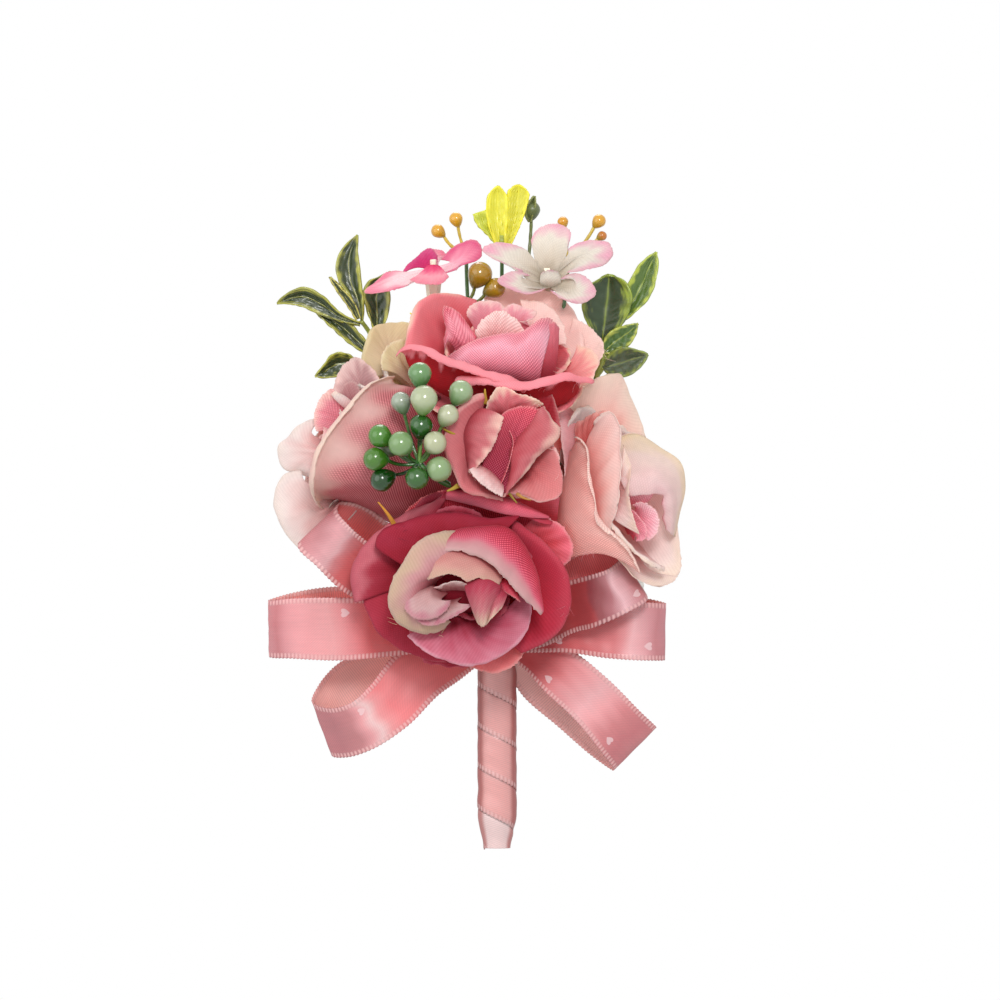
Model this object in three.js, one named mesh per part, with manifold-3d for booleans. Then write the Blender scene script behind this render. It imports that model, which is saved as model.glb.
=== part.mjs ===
// Wrist corsage: cloth roses, berries, leaves and a looped satin ribbon, bound to a wrapped stem on an
// elastic wristband. Millimetres. +Z runs up the stem to the flower tips, the flowers face -Y, and the
// wrist lies on the +Y side. The origin is the middle of the felt pad's flat face, which lies on the wrist.
import * as THREE from "three";
import { mergeVertices } from "three/addons/utils/BufferGeometryUtils.js";
import Module from "manifold-3d";

const wasm = await Module();
wasm.setup();

// Driving sizes

// Left between pieces that seat on one another, and round a piece that cuts into a softer one
const clearance = 0.36;
const cutGap = 0.3;
// The space that the flowers fill: to each side of the stem, in front of the wrist and above the origin
const bouquet = { halfWidth: 38.5, depth: 50, height: 78.5 };
const pad = { width: 19, height: 14, thickness: 1.5 };
const band = { innerWidth: 54, innerDepth: 46, flatWidth: 24, width: 11, thickness: 1.2 };
// Plastic-coated flower wire, and the distance between wires packed side by side
const wire = { diameter: 0.75, pitch: 1, leaveShare: 0.3, arriveShare: 0.45 };
const neck = { top: -3, height: 7, wall: 1.2, waist: 0.3 };
const ribbon = { width: 10, thickness: 0.3 };
// The stem ribbon: how far a turn covers the next, its gap to it, and the drawn-in end below the wires
const wrap = { overlap: 3, selfGap: 0.45, end: -45, drawnLength: 6.5, drawnIn: 1.1, leastEdge: 1.2 };
const knot = { width: 5, height: 7.4, wall: 0.4, ribbonHeight: 4.6, drop: 5.6 };
// The bow: distance between ribbon layers in the knot, how far a loop's two runs part, how far from the
// middle the loops turn apart, and how far the upper and lower tips swing out of line. The shares say
// where, from the knot to the fold, the ribbon widens to its full width, opens and tilts.
const bow = {
  layerPitch: 0.7,
  belly: 8,
  bend: 8,
  swing: 4,
  widenShares: [0.08, 0.45],
  openShares: [0.3, 0.85],
  tiltShares: [0.3, 0.9],
};
// The shares say where along a petal its rim turns over and its sides lap its neighbours.
const petal = { thickness: 0.5, layerPitch: 1.4, rimShares: [0.5, 1], lapShares: [0.3, 0.8] };
const calyx = {
  radius: 2.8,
  height: 4.2,
  bevel: 0.25,
  shoulder: 1,
  pinRadius: 0.6,
  sepalLength: 8,
  sepalThickness: 0.4,
};
// The heart stands a little above the innermost disc, whose bowl holds its foot
const heart = { radius: 2.7, turns: 1.7, lift: 0.9, flareShare: 0.2, dipShare: 0.12 };
const leaf = { thickness: 0.7, tipShare: 0.12, arch: 0.8, keelShare: 0.25, broadShare: 0.6 };
const topLeaf = {
  height: 10.4,
  spread: 62,
  lean: -8,
  lobes: 3,
  notchShare: 0.3,
  stemShare: 0.12,
  ribShare: 0.33,
  cup: 1.2,
  baseShare: [0.03, 0.12, 0.866],
};
// A berry's stalk is at least this share of the way to its berry
const stalk = { diameter: 0.9, leastShare: 0.2 };
const cluster = {
  halfWidth: 8,
  halfHeight: 10,
  depth: 7,
  berryRadius: 2.2,
  stemDiameter: 1.26,
  middleShare: [-0.38, 0.68, 0.427],
};

// Derived sizes

const bundleRadius = 2 * wire.pitch + wire.diameter / 2;
const neckInner = bundleRadius + clearance;
const neckRadius = neckInner + neck.wall;
// The pad, the band and the bound neck lie on one another
const bandFront = -pad.thickness - clearance - band.thickness;
const neckY = bandFront - clearance - neckRadius;
const knotY = neckY - neckRadius - clearance;
const loopsPerSide = 3;
const knotDepth = 2 * loopsPerSide * bow.layerPitch + 2 * clearance;

// Colours

const finish = (color, roughness = 0.8, metalness = 0) =>
  new THREE.MeshStandardMaterial({ color, roughness, metalness });
const colours = {
  satin: finish("#cf8389", 0.4),
  deepPetal: finish("#d2506f"),
  rosePetal: finish("#dd7c93"),
  palePetal: finish("#eec4c0"),
  creamPetal: finish("#efdcb9"),
  whitePetal: finish("#f6eef0"),
  tippedPetal: finish("#e28bb0"),
  calyxGreen: finish("#8f8f2a", 0.5),
  leafGreen: finish("#46552a", 0.35),
  leafYellow: finish("#c9cf2e", 0.4),
  berryGreen: finish("#5aa455", 0.2),
  berryOlive: finish("#a8902c", 0.3),
  stamen: finish("#d99a2b", 0.5),
  tape: finish("#6d7a3b", 0.9),
  elastic: finish("#f0e6e2", 0.9),
  felt: finish("#f4eeea", 1),
};

// Geometry helpers

const vector = (x, y, z) => new THREE.Vector3(x, y, z);
const smooth = (from, to, x) => THREE.MathUtils.smoothstep(x, from, to);
const degrees = THREE.MathUtils.degToRad;

// A place in the bouquet, from shares of its half width, depth and height
const place = ([xShare, yShare, zShare]) =>
  vector(xShare * bouquet.halfWidth, -yShare * bouquet.depth, zShare * bouquet.height);

// Turns the faces of a closed mesh outwards.
function facingOut(points, faces) {
  let volume = 0;
  for (const [a, b, c] of faces) volume += points[a].dot(points[b].clone().cross(points[c]));
  const turned = volume < 0 ? faces.map(([a, b, c]) => [a, c, b]) : faces;
  const geometry = new THREE.BufferGeometry();
  const coordinates = points.flatMap((p) => p.toArray());
  geometry.setAttribute("position", new THREE.Float32BufferAttribute(coordinates, 3));
  geometry.setIndex(turned.flat());
  return geometry;
}

// A sheet of even thickness round the surface point(u, v), with u and v from 0 to 1. us and vs are the
// places where it has vertices. A closed sheet joins its last column to its first.
function sheet(point, us, vs, thickness, closed = false) {
  const middle = vs.map((v) => us.map((u) => point(u, v)));
  const columns = us.length;
  const rows = vs.length;
  const step = (i, by) =>
    closed ? (i + by + columns) % columns : THREE.MathUtils.clamp(i + by, 0, columns - 1);
  const points = [];
  for (const side of [0.5, -0.5])
    for (let j = 0; j < rows; j++)
      for (let i = 0; i < columns; i++) {
        const along = middle[Math.min(j + 1, rows - 1)][i].clone().sub(middle[Math.max(j - 1, 0)][i]);
        const across = middle[j][step(i, 1)].clone().sub(middle[j][step(i, -1)]);
        const normal = across.cross(along).normalize();
        points.push(middle[j][i].clone().addScaledVector(normal, side * thickness));
      }
  const back = rows * columns;
  const faces = [];
  const quad = (a, b, c, d) => faces.push([a, b, c], [a, c, d]);
  for (let i = 0; i < (closed ? columns : columns - 1); i++) {
    const next = (i + 1) % columns;
    for (let j = 0; j < rows - 1; j++) {
      const [a, b] = [j * columns + i, j * columns + next];
      const [c, d] = [b + columns, a + columns];
      // Both sides of a twisted quad are split along the same diagonal, so that they stay apart
      quad(a, b, c, d);
      quad(back + c, back + b, back + a, back + d);
    }
    const top = (rows - 1) * columns;
    quad(next, i, back + i, back + next);
    quad(top + i, top + next, back + top + next, back + top + i);
  }
  if (!closed)
    for (let j = 0; j < rows - 1; j++) {
      const [a, d] = [j * columns, (j + 1) * columns];
      quad(a, d, back + d, back + a);
      quad(d + columns - 1, a + columns - 1, back + a + columns - 1, back + d + columns - 1);
    }
  return facingOut(points, faces);
}

// A round rod along its points, with a radius at each.
function rod(points, radii, sides) {
  const rings = [];
  let normal = null;
  points.forEach((p, i) => {
    const before = points[Math.max(i - 1, 0)];
    const after = points[Math.min(i + 1, points.length - 1)];
    const tangent = after.clone().sub(before).normalize();
    normal ??= Math.abs(tangent.x) < Math.abs(tangent.z) ? vector(1, 0, 0) : vector(0, 0, 1);
    normal = normal.clone().addScaledVector(tangent, -normal.dot(tangent)).normalize();
    const binormal = tangent.clone().cross(normal);
    for (let k = 0; k < sides; k++) {
      const angle = (2 * Math.PI * k) / sides;
      rings.push(
        p.clone()
          .addScaledVector(normal, radii[i] * Math.cos(angle))
          .addScaledVector(binormal, radii[i] * Math.sin(angle)),
      );
    }
  });
  const last = (points.length - 1) * sides;
  const [start, end] = [rings.length, rings.length + 1];
  rings.push(points[0].clone(), points[points.length - 1].clone());
  const faces = [];
  for (let k = 0; k < sides; k++) {
    const next = (k + 1) % sides;
    for (let i = 0; i < points.length - 1; i++) {
      const [a, b] = [i * sides + k, i * sides + next];
      faces.push([a, b, b + sides], [a, b + sides, a + sides]);
    }
    faces.push([start, next, k], [end, last + k, last + next]);
  }
  return facingOut(rings, faces);
}

const evenly = (count) => Array.from({ length: count + 1 }, (_, i) => i / count);

// Solids

function toSolid(geometry) {
  const bare = geometry.clone();
  bare.deleteAttribute("normal");
  bare.deleteAttribute("uv");
  const merged = mergeVertices(bare, 1e-4);
  return new wasm.Manifold(
    new wasm.Mesh({
      numProp: 3,
      vertProperties: merged.attributes.position.array,
      triVerts: new Uint32Array(merged.index.array),
    }),
  );
}

function toGeometry(solid) {
  const mesh = solid.getMesh();
  const geometry = new THREE.BufferGeometry();
  geometry.setAttribute("position", new THREE.BufferAttribute(new Float32Array(mesh.vertProperties), 3));
  geometry.setIndex(new THREE.BufferAttribute(new Uint32Array(mesh.triVerts), 1));
  return geometry;
}

const joined = (geometries) => toGeometry(geometries.map(toSolid).reduce((a, b) => a.add(b)));

function largestBody(solid) {
  return solid.decompose().reduce((a, b) => (a.volume() > b.volume() ? a : b));
}

function boxOf(solid) {
  const { min, max } = solid.boundingBox();
  return new THREE.Box3(vector(...min), vector(...max));
}

const corsage = new THREE.Group();
const placed = [];

// Adds a piece to its group, cut clear of each piece added before it, as soft petals give way to what
// they press against. make(loose) returns the piece's geometry in the group's frame, grown all round by
// loose.
function add(group, name, material, make) {
  group.updateWorldMatrix(true, false);
  let solid = toSolid(make(0).applyMatrix4(group.matrixWorld));
  const box = boxOf(solid);
  for (const other of placed)
    if (other.box.intersectsBox(box)) solid = solid.subtract(other.shadow);
  solid = largestBody(solid);
  const shadow = toSolid(make(cutGap).applyMatrix4(group.matrixWorld));
  placed.push({ shadow, box: boxOf(shadow) });
  const geometry = toGeometry(solid).applyMatrix4(group.matrixWorld.clone().invert());
  geometry.computeVertexNormals();
  const mesh = new THREE.Mesh(geometry, material);
  mesh.name = name;
  group.add(mesh);
}

// Wrist side: felt pad, elastic band, taped neck

function padGeometry(loose) {
  const outline = new THREE.Shape();
  outline.absellipse(0, 0, pad.width / 2 + loose, pad.height / 2 + loose, 0, 2 * Math.PI);
  const depth = pad.thickness + 2 * loose;
  return new THREE.ExtrudeGeometry(outline, { depth, bevelEnabled: false, curveSegments: 16 })
    .rotateX(Math.PI / 2)
    .translate(0, loose, 0);
}

// The band's middle line, seen from above: a flat run on the pad, two round corners and a round back.
function bandPath() {
  const flat = band.flatWidth / 2;
  const side = (band.innerWidth + band.thickness) / 2;
  const half = (band.innerDepth + band.thickness) / 2;
  const front = bandFront + band.thickness / 2;
  const cornerSteps = 8;
  const path = [];
  for (let i = 0; i <= cornerSteps; i++) {
    const angle = (Math.PI / 2) * (i / cornerSteps);
    path.push([flat + (side - flat) * Math.sin(angle), front + half * (1 - Math.cos(angle))]);
  }
  for (let i = 1; i < 2 * cornerSteps; i++) {
    const angle = Math.PI * (i / (2 * cornerSteps));
    path.push([side * Math.cos(angle), front + half * (1 + Math.sin(angle))]);
  }
  for (let i = cornerSteps; i >= 0; i--) path.push([-path[i][0], path[i][1]]);
  return path;
}

function bandGeometry(loose) {
  const path = bandPath();
  const width = band.width + 2 * loose;
  const point = (u, v) => {
    const [x, y] = path[Math.round(u * path.length)];
    return vector(x, y, width * (v - 1 / 2));
  };
  const us = path.map((_, i) => i / path.length);
  return sheet(point, us, [0, 1], band.thickness + 2 * loose, true);
}

// Floral tape round the wires, drawn in at its waist
function neckGeometry(loose) {
  const inner = neckInner - loose;
  const waist = neckRadius - neck.waist + loose;
  const top = neck.top + loose;
  const bottom = neck.top - neck.height - loose;
  const profile = [
    [inner, bottom],
    [neckRadius + loose, bottom],
    [waist, (bottom + top) / 2],
    [neckRadius + loose, top],
    [inner, top],
    [inner, bottom],
  ];
  return new THREE.LatheGeometry(profile.map(([x, y]) => new THREE.Vector2(x, y)), 20)
    .rotateX(Math.PI / 2)
    .translate(0, neckY, 0);
}

// Stem: one ribbon wound down the wires, each turn's lower edge lying over the next turn

const wrapPitch = ribbon.width - wrap.overlap;
const wrapTop = neck.top - neck.height - clearance;
const wrapInner = bundleRadius + clearance + ribbon.thickness / 2;
const wrapStepsPerTurn = 16;
// The ribbon lies slanted, so it reaches further along the stem than it is wide
const wrapSlant = Math.atan2(wrapPitch, 2 * Math.PI * wrapInner);
const wrapReach = ribbon.width / Math.cos(wrapSlant);
const wrapRise = (ribbon.thickness + wrap.selfGap) / wrapPitch;
const firstTurn = (wrap.leastEdge - wrapReach) / wrapPitch;
const lastTurn = (wrapTop - wrap.end - wrap.leastEdge) / wrapPitch;

// v runs over the part of the ribbon's width that is left between the stem's two ends
function wrapPoint(turn, v) {
  const upper = wrapTop - wrapPitch * turn;
  const from = Math.max(0, (upper - wrapTop) / wrapReach);
  const to = Math.min(1, (upper - wrap.end) / wrapReach);
  const across = from + (to - from) * v;
  const z = upper - wrapReach * across;
  const drawn = wrap.drawnIn * (1 - smooth(0, wrap.drawnLength, z - wrap.end));
  const radius = wrapInner + wrapRise * wrapReach * across - drawn;
  const angle = 2 * Math.PI * turn;
  return vector(radius * Math.sin(angle), neckY - radius * Math.cos(angle), z);
}

const wrapSteps = Math.round((lastTurn - firstTurn) * wrapStepsPerTurn);
const wrapAt = (u, v) => wrapPoint(firstTurn + (lastTurn - firstTurn) * u, v);
const wrapRows = 3;
const wrapGeometry = (loose) =>
  sheet(wrapAt, evenly(wrapSteps), evenly(wrapRows), ribbon.thickness + 2 * loose);

// The least distance between two turns, measured on points of the ribbon
function leastWrapGap() {
  const points = evenly(wrapSteps).map((u) => evenly(3 * wrapRows).map((v) => wrapAt(u, v)));
  let least = Infinity;
  for (let i = 0; i < points.length; i++)
    for (let j = i + Math.floor(wrapStepsPerTurn / 2); j < points.length; j++)
      for (const a of points[i]) for (const b of points[j]) least = Math.min(least, a.distanceTo(b));
  return least - ribbon.thickness;
}
console.log("stem ribbon: least gap to itself " + leastWrapGap().toFixed(2) + " mm");

// Bow

const halfTurn = Math.PI;
const knotZ = -knot.drop;

// A short band that gathers the loops, seen along X as an oval
function knotGeometry(loose) {
  const depth = knotDepth / 2 + knot.wall / 2;
  const height = knot.height / 2;
  const point = (u, v) => {
    const angle = 2 * halfTurn * u;
    const width = knot.width + 2 * loose;
    const squared = (x) => Math.sign(x) * Math.sqrt(Math.abs(x));
    return vector(width * (v - 1 / 2), depth * squared(Math.cos(angle)), height * squared(Math.sin(angle)));
  };
  const us = evenly(20).slice(0, -1);
  const middleY = knotY - knotDepth / 2 - knot.wall;
  return sheet(point, us, [0, 1], knot.wall + 2 * loose, true).translate(0, middleY, knotZ);
}

// side is -1 for the left and 1 for the right. tip is the middle of the fold, as shares of the bouquet's
// half width and height from the knot. layer counts from the back.
function loopGeometry({ side, tipShare, layer, tilt }, loose) {
  const start = new THREE.Vector2(side * clearance, 0);
  const corner = new THREE.Vector2(side * bow.bend, 0);
  const tip = new THREE.Vector2(tipShare[0] * bouquet.halfWidth, tipShare[1] * bouquet.height);
  const spine = new THREE.QuadraticBezierCurve(start, corner, tip);
  const middleY = knotY - knot.wall - clearance - (2 * layer + 1) * bow.layerPitch;
  const point = (u, v) => {
    const out = Math.sin(halfTurn * u);
    const near = Math.min(u, 1 - u) * 2;
    const at = spine.getPoint(out);
    const along = spine.getTangent(out);
    const opened = (bow.belly / 2) * Math.sin(2 * halfTurn * u) * smooth(...bow.openShares, near);
    const swung = bow.swing * (layer - 1) * out ** 2;
    const apart = opened + (bow.layerPitch / 2) * Math.cos(halfTurn * u) + swung;
    const widened = smooth(...bow.widenShares, near);
    const gathered = THREE.MathUtils.lerp(knot.ribbonHeight, ribbon.width, widened);
    const turned = degrees(tilt) * smooth(...bow.tiltShares, near);
    const across = (gathered + 2 * loose) * (v - 1 / 2);
    const flat = across * Math.cos(turned);
    return vector(
      at.x - along.y * flat,
      middleY - apart + across * Math.sin(turned),
      knotZ + at.y + along.x * flat,
    );
  };
  return sheet(point, evenly(22), [0, 1], ribbon.thickness + 2 * loose);
}

const loops = {
  ribbon_loop_left_upper: { side: -1, tipShare: [-0.85, 0.265], layer: 2, tilt: 20 },
  ribbon_loop_left_middle: { side: -1, tipShare: [-1.1, 0.03], layer: 1, tilt: 8 },
  ribbon_loop_left_lower: { side: -1, tipShare: [-0.84, -0.212], layer: 0, tilt: 24 },
  ribbon_loop_right_upper: { side: 1, tipShare: [0.66, 0.16], layer: 2, tilt: -20 },
  ribbon_loop_right_middle: { side: 1, tipShare: [0.82, 0.022], layer: 1, tilt: -8 },
  ribbon_loop_right_lower: { side: 1, tipShare: [0.67, -0.26], layer: 0, tilt: -20 },
};

// Wires: each runs from its flower to a place in the bundle, packed in two rings round a middle wire

function slot(ring, index) {
  const count = ring === 0 ? 1 : 6 * ring;
  const angle = (2 * Math.PI * index) / count;
  return vector(ring * wire.pitch * Math.sin(angle), neckY - ring * wire.pitch * Math.cos(angle), neck.top);
}

const wireEnd = wrap.end + wrap.drawnLength;

// The wire leaves its flower along leave and comes down into the bundle
function wireRoute(from, leave, at, steps = 5) {
  const reach = from.distanceTo(at);
  const curve = new THREE.CubicBezierCurve3(
    from,
    from.clone().addScaledVector(leave, wire.leaveShare * reach),
    at.clone().add(vector(0, 0, wire.arriveShare * reach)),
    at,
  );
  return [...curve.getPoints(steps), vector(at.x, at.y, wireEnd)];
}

// Roses

// The tangent of a petal turns from level to its lean, and then to its rim's angle. Returns the reach
// from the axis and the height, for a share of the petal's length.
function petalProfile({ length, bowlShare, lean, rim }) {
  const steps = 24;
  const angleAt = (q) =>
    degrees(lean) * smooth(0, bowlShare, q) + degrees(rim - lean) * smooth(...petal.rimShares, q);
  const reaches = [0];
  const heights = [0];
  for (let i = 0; i < steps; i++) {
    const angle = angleAt((i + 1 / 2) / steps);
    reaches.push(reaches[i] + (length / steps) * Math.cos(angle));
    heights.push(heights[i] + (length / steps) * Math.sin(angle));
  }
  const read = (list, q) => {
    const i = Math.min(Math.floor(q * steps), steps - 1);
    return THREE.MathUtils.lerp(list[i], list[i + 1], q * steps - i);
  };
  return (q) => [read(reaches, q), read(heights, q)];
}

// Places round one petal, as shares of it, that keep the notches narrow, and along it from the hole
const aroundPetalShares = [0, 0.14, 0.5, 0.86];
const alongPetalShares = [0, 0.2, 0.5, 1];

// A stamped disc of petals joined round the pin's hole. Its middle lies on the group's axis at lift.
function discGeometry(disc, loose) {
  const profile = petalProfile(disc);
  const hole = calyx.pinRadius + 2 * clearance;
  const aroundShares = disc.aroundShares ?? aroundPetalShares;
  const point = (u, v) => {
    const share = (u * disc.petals) % 1;
    const full = Math.sin(Math.PI * share) ** disc.pointedness;
    const q = v * (1 - disc.notchShare * (1 - full)) + (v === 1 ? loose / disc.length : 0);
    const [out, up] = profile(q);
    const angle = 2 * Math.PI * u + degrees(disc.turn);
    const lapped = disc.lap * smooth(...petal.lapShares, q) * Math.sin(2 * Math.PI * share);
    const waved = disc.wave * smooth(...petal.rimShares, q) * Math.sin(2 * angle);
    const radius = hole + out + lapped - (v === 0 ? loose : 0);
    return vector(radius * Math.cos(angle), radius * Math.sin(angle), up + waved);
  };
  const us = [];
  for (let i = 0; i < disc.petals; i++) for (const s of aroundShares) us.push((i + s) / disc.petals);
  const vs = disc.alongShares ?? alongPetalShares;
  return sheet(point, us, vs, disc.thickness + 2 * loose, true).translate(0, 0, disc.lift);
}

// A rolled strip of cloth that stands round the pin as the rose's heart
function heartGeometry({ radius, height, turns, lift }, loose) {
  const inner = calyx.pinRadius + clearance + petal.thickness;
  const stepsPerTurn = 9;
  const point = (u, v) => {
    const angle = 2 * Math.PI * turns * u;
    const out = THREE.MathUtils.lerp(inner, radius, u) * (1 + heart.flareShare * (v - 1 / 2));
    const rim = height * (1 - heart.dipShare * (1 + Math.sin(3 * angle)) / 2);
    return vector(out * Math.cos(angle), out * Math.sin(angle), rim * v);
  };
  const us = evenly(Math.round(turns * stepsPerTurn));
  return sheet(point, us, [0, 1 / 2, 1], petal.thickness + 2 * loose).translate(0, 0, lift);
}

// Moulded calyx with its pin, five sepals and the wire. The calyx's top is the group's origin, and the
// wire's route is in the group's frame.
function roseStemGeometry(rose, route, loose) {
  const wide = calyx.radius * rose.calyxShare;
  const profile = [
    [-rose.pinHeight, calyx.pinRadius],
    [0, calyx.pinRadius],
    [calyx.bevel, wide],
    [calyx.shoulder, wide],
    [calyx.height, wire.diameter],
  ];
  const points = [...profile.map(([down]) => vector(0, 0, -down)), ...route.slice(1)];
  const radii = [...profile.map(([, radius]) => radius), ...route.slice(1).map(() => wire.diameter / 2)];
  const body = rod(points, radii.map((radius) => radius + loose), 5);
  const sepals = discGeometry(
    { ...sepalDisc, length: calyx.sepalLength * rose.calyxShare, lift: -calyx.shoulder / 2 },
    loose,
  );
  return joined([body, sepals]);
}

// How each kind of disc is cut and bent, with lengths as shares of the rose's radius and angles in
// degrees: its lean above the level, its rim's angle and its turn round the axis
const discShares = {
  outer: {
    petals: 5,
    lengthShare: 1.11,
    bowlShare: 0.4,
    lean: 48,
    rim: -25,
    notchShare: 0.42,
    turn: 0,
    alongShares: [0, 0.25, 0.62, 1],
  },
  raised: {
    petals: 5,
    lengthShare: 1.16,
    bowlShare: 0.42,
    lean: 56,
    rim: 0,
    notchShare: 0.38,
    turn: 0,
    alongShares: [0, 0.25, 0.62, 1],
  },
  second: { petals: 5, lengthShare: 1.04, bowlShare: 0.36, lean: 63, rim: 8, notchShare: 0.38, turn: 36 },
  third: { petals: 4, lengthShare: 0.98, bowlShare: 0.32, lean: 77, rim: 50, notchShare: 0.34, turn: 20 },
  inner: {
    petals: 3,
    lengthShare: 0.95,
    bowlShare: 0.26,
    lean: 83,
    rim: 84,
    notchShare: 0.3,
    turn: 50,
    alongShares: [0, 0.16, 0.42, 1],
  },
  budOuter: { petals: 4, lengthShare: 1.5, bowlShare: 0.3, lean: 68, rim: 24, notchShare: 0.3, turn: 45 },
  budInner: {
    petals: 3,
    lengthShare: 1.5,
    bowlShare: 0.2,
    lean: 82,
    rim: 80,
    notchShare: 0.28,
    turn: 10,
    alongShares: [0, 0.16, 0.42, 1],
  },
};
const discDetail = { pointedness: 0.45, lap: 0.25, wave: 0.4, thickness: petal.thickness };
const sepalDisc = {
  petals: 5,
  aroundShares: [0, 0.3, 0.7],
  alongShares: [0, 0.5, 1],
  bowlShare: 0.9,
  lean: 14,
  rim: 24,
  notchShare: 0.65,
  pointedness: 1.5,
  lap: 0,
  wave: 0,
  turn: 20,
  thickness: calyx.sepalThickness,
};

// Where each rose sits and faces, as shares of the bouquet, and which place its wire has in the bundle
const roses = {
  front_rose: {
    radius: 19.5,
    baseShare: [-0.16, 0.42, 0.07],
    facing: [-0.06, -1, -0.02],
    discs: { petals_outer: "outer", petals_second: "second", petals_third: "third", petals_inner: "inner" },
    slot: [2, 0],
    outside: colours.deepPetal,
    inside: colours.rosePetal,
  },
  rose_bud: {
    radius: 10,
    baseShare: [0.04, 0.56, 0.375],
    facing: [0, -0.97, 0.16],
    discs: { petals_outer: "budOuter", petals_inner: "budInner" },
    calyxShare: 0.8,
    heightShare: 1.55,
    slot: [1, 0],
    outside: colours.rosePetal,
    inside: colours.rosePetal,
  },
  top_rose: {
    radius: 18,
    baseShare: [0.02, 0.33, 0.49],
    facing: [-0.05, -0.58, 0.81],
    discs: { petals_outer: "outer", petals_second: "second", petals_third: "third", petals_inner: "inner" },
    slot: [0, 0],
    outside: colours.deepPetal,
    inside: colours.rosePetal,
  },
  left_rose: {
    radius: 18.5,
    baseShare: [-0.55, 0.3, 0.35],
    facing: [-0.91, -0.27, 0.3],
    discs: { petals_outer: "second", petals_second: "third", petals_inner: "inner" },
    slot: [2, 9],
    outside: colours.palePetal,
    inside: colours.palePetal,
  },
  right_rose: {
    radius: 19.5,
    baseShare: [0.37, 0.25, 0.29],
    facing: [0.82, -0.55, 0.02],
    discs: { petals_outer: "raised", petals_second: "second", petals_inner: "inner" },
    slot: [2, 3],
    outside: colours.palePetal,
    inside: colours.creamPetal,
  },
  back_rose: {
    radius: 10.5,
    baseShare: [-0.32, 0.21, 0.446],
    facing: [-0.45, -0.45, 0.77],
    discs: { petals_outer: "outer", petals_inner: "inner" },
    calyxShare: 0.8,
    heartless: true,
    slot: [1, 4],
    outside: colours.creamPetal,
    inside: colours.creamPetal,
  },
};

// The group of each rose, its calyx's top at the group's origin and its axis along +Z
for (const rose of Object.values(roses)) {
  rose.calyxShare ??= 1;
  rose.heightShare ??= 0.86;
  const discCount = Object.keys(rose.discs).length;
  rose.heartLift = discCount * petal.layerPitch + heart.lift;
  rose.pinHeight = rose.heartLift + calyx.height;
  rose.group = new THREE.Group();
  rose.group.position.copy(place(rose.baseShare));
  rose.axis = vector(...rose.facing).normalize();
  rose.group.quaternion.setFromUnitVectors(vector(0, 0, 1), rose.axis);
  corsage.add(rose.group);
}

function addRoseStem(name, rose) {
  rose.group.updateWorldMatrix(true, false);
  const toLocal = rose.group.matrixWorld.clone().invert();
  const foot = rose.group.position.clone().addScaledVector(rose.axis, -calyx.height);
  const route = wireRoute(foot, rose.axis.clone().negate(), slot(...rose.slot));
  const local = route.map((p) => p.applyMatrix4(toLocal));
  add(rose.group, name + "_stem", colours.calyxGreen, (loose) => roseStemGeometry(rose, local, loose));
}

function addRosePetals(name, rose) {
  Object.entries(rose.discs).forEach(([part, kind], i) => {
    const shares = discShares[kind];
    const disc = { ...discDetail, ...shares, length: shares.lengthShare * rose.radius };
    disc.lift = clearance + petal.thickness / 2 + i * petal.layerPitch;
    const material = i === 0 ? rose.outside : rose.inside;
    add(rose.group, name + "_" + part, material, (loose) => discGeometry(disc, loose));
  });
  if (rose.heartless) return;
  const form = {
    radius: heart.radius,
    height: rose.radius * rose.heightShare - rose.heartLift,
    turns: heart.turns,
    lift: rose.heartLift,
  };
  add(rose.group, name + "_heart", rose.inside, (loose) => heartGeometry(form, loose));
}

// Leaves, berries and small flowers

// A keeled leaf from its base to its tip, its upper face to the front. Its width is least at its ends.
function leafGeometry({ from, to, width }, loose) {
  const axis = to.clone().sub(from);
  const length = axis.length();
  axis.normalize();
  const front = vector(0, -1, 0).addScaledVector(axis, axis.y).normalize();
  const side = axis.clone().cross(front);
  const point = (u, v) => {
    const swell = Math.sin(Math.PI * v ** leaf.broadShare);
    const half = (width / 2) * (leaf.tipShare + (1 - leaf.tipShare) * Math.max(swell, 0)) + loose;
    const across = 2 * u - 1;
    return from
      .clone()
      .addScaledVector(axis, length * v)
      .addScaledVector(side, half * across)
      .addScaledVector(front, half * leaf.keelShare * Math.abs(across) + leaf.arch * Math.sin(Math.PI * v));
  };
  return sheet(point, [0, 0.5, 1], evenly(5), leaf.thickness + 2 * loose);
}

function stalkGeometry(points, loose, diameter = stalk.diameter) {
  return rod(points, points.map(() => diameter / 2 + loose), 4);
}

// A teardrop berry on its stalk, from the stalk's start to the berry's middle
function berryGeometry({ from, middle, radius }, loose) {
  const axis = middle.clone().sub(from);
  const length = axis.length();
  axis.normalize();
  // Along the berry from its middle, and how thick it is there, as shares of its radius
  const profileShares = [
    [-1.25, 0.25],
    [-0.85, 0.68],
    [-0.2, 1],
    [0.45, 0.9],
    [0.95, 0.35],
  ];
  const points = [from];
  const radii = [stalk.diameter / 2 + loose];
  const neckAt = length + profileShares[0][0] * radius;
  const stalkEnd = Math.max(neckAt - stalk.diameter, length * stalk.leastShare);
  points.push(from.clone().addScaledVector(axis, stalkEnd));
  radii.push(stalk.diameter / 2 + loose);
  for (const [alongShare, thickShare] of profileShares) {
    points.push(middle.clone().addScaledVector(axis, alongShare * radius));
    radii.push(Math.max(thickShare * radius, stalk.diameter / 2) + loose);
  }
  return rod(points, radii, 5);
}

const wireFrom = (from, leave, at) => wireRoute(from, leave.clone().normalize(), slot(...at));

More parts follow.
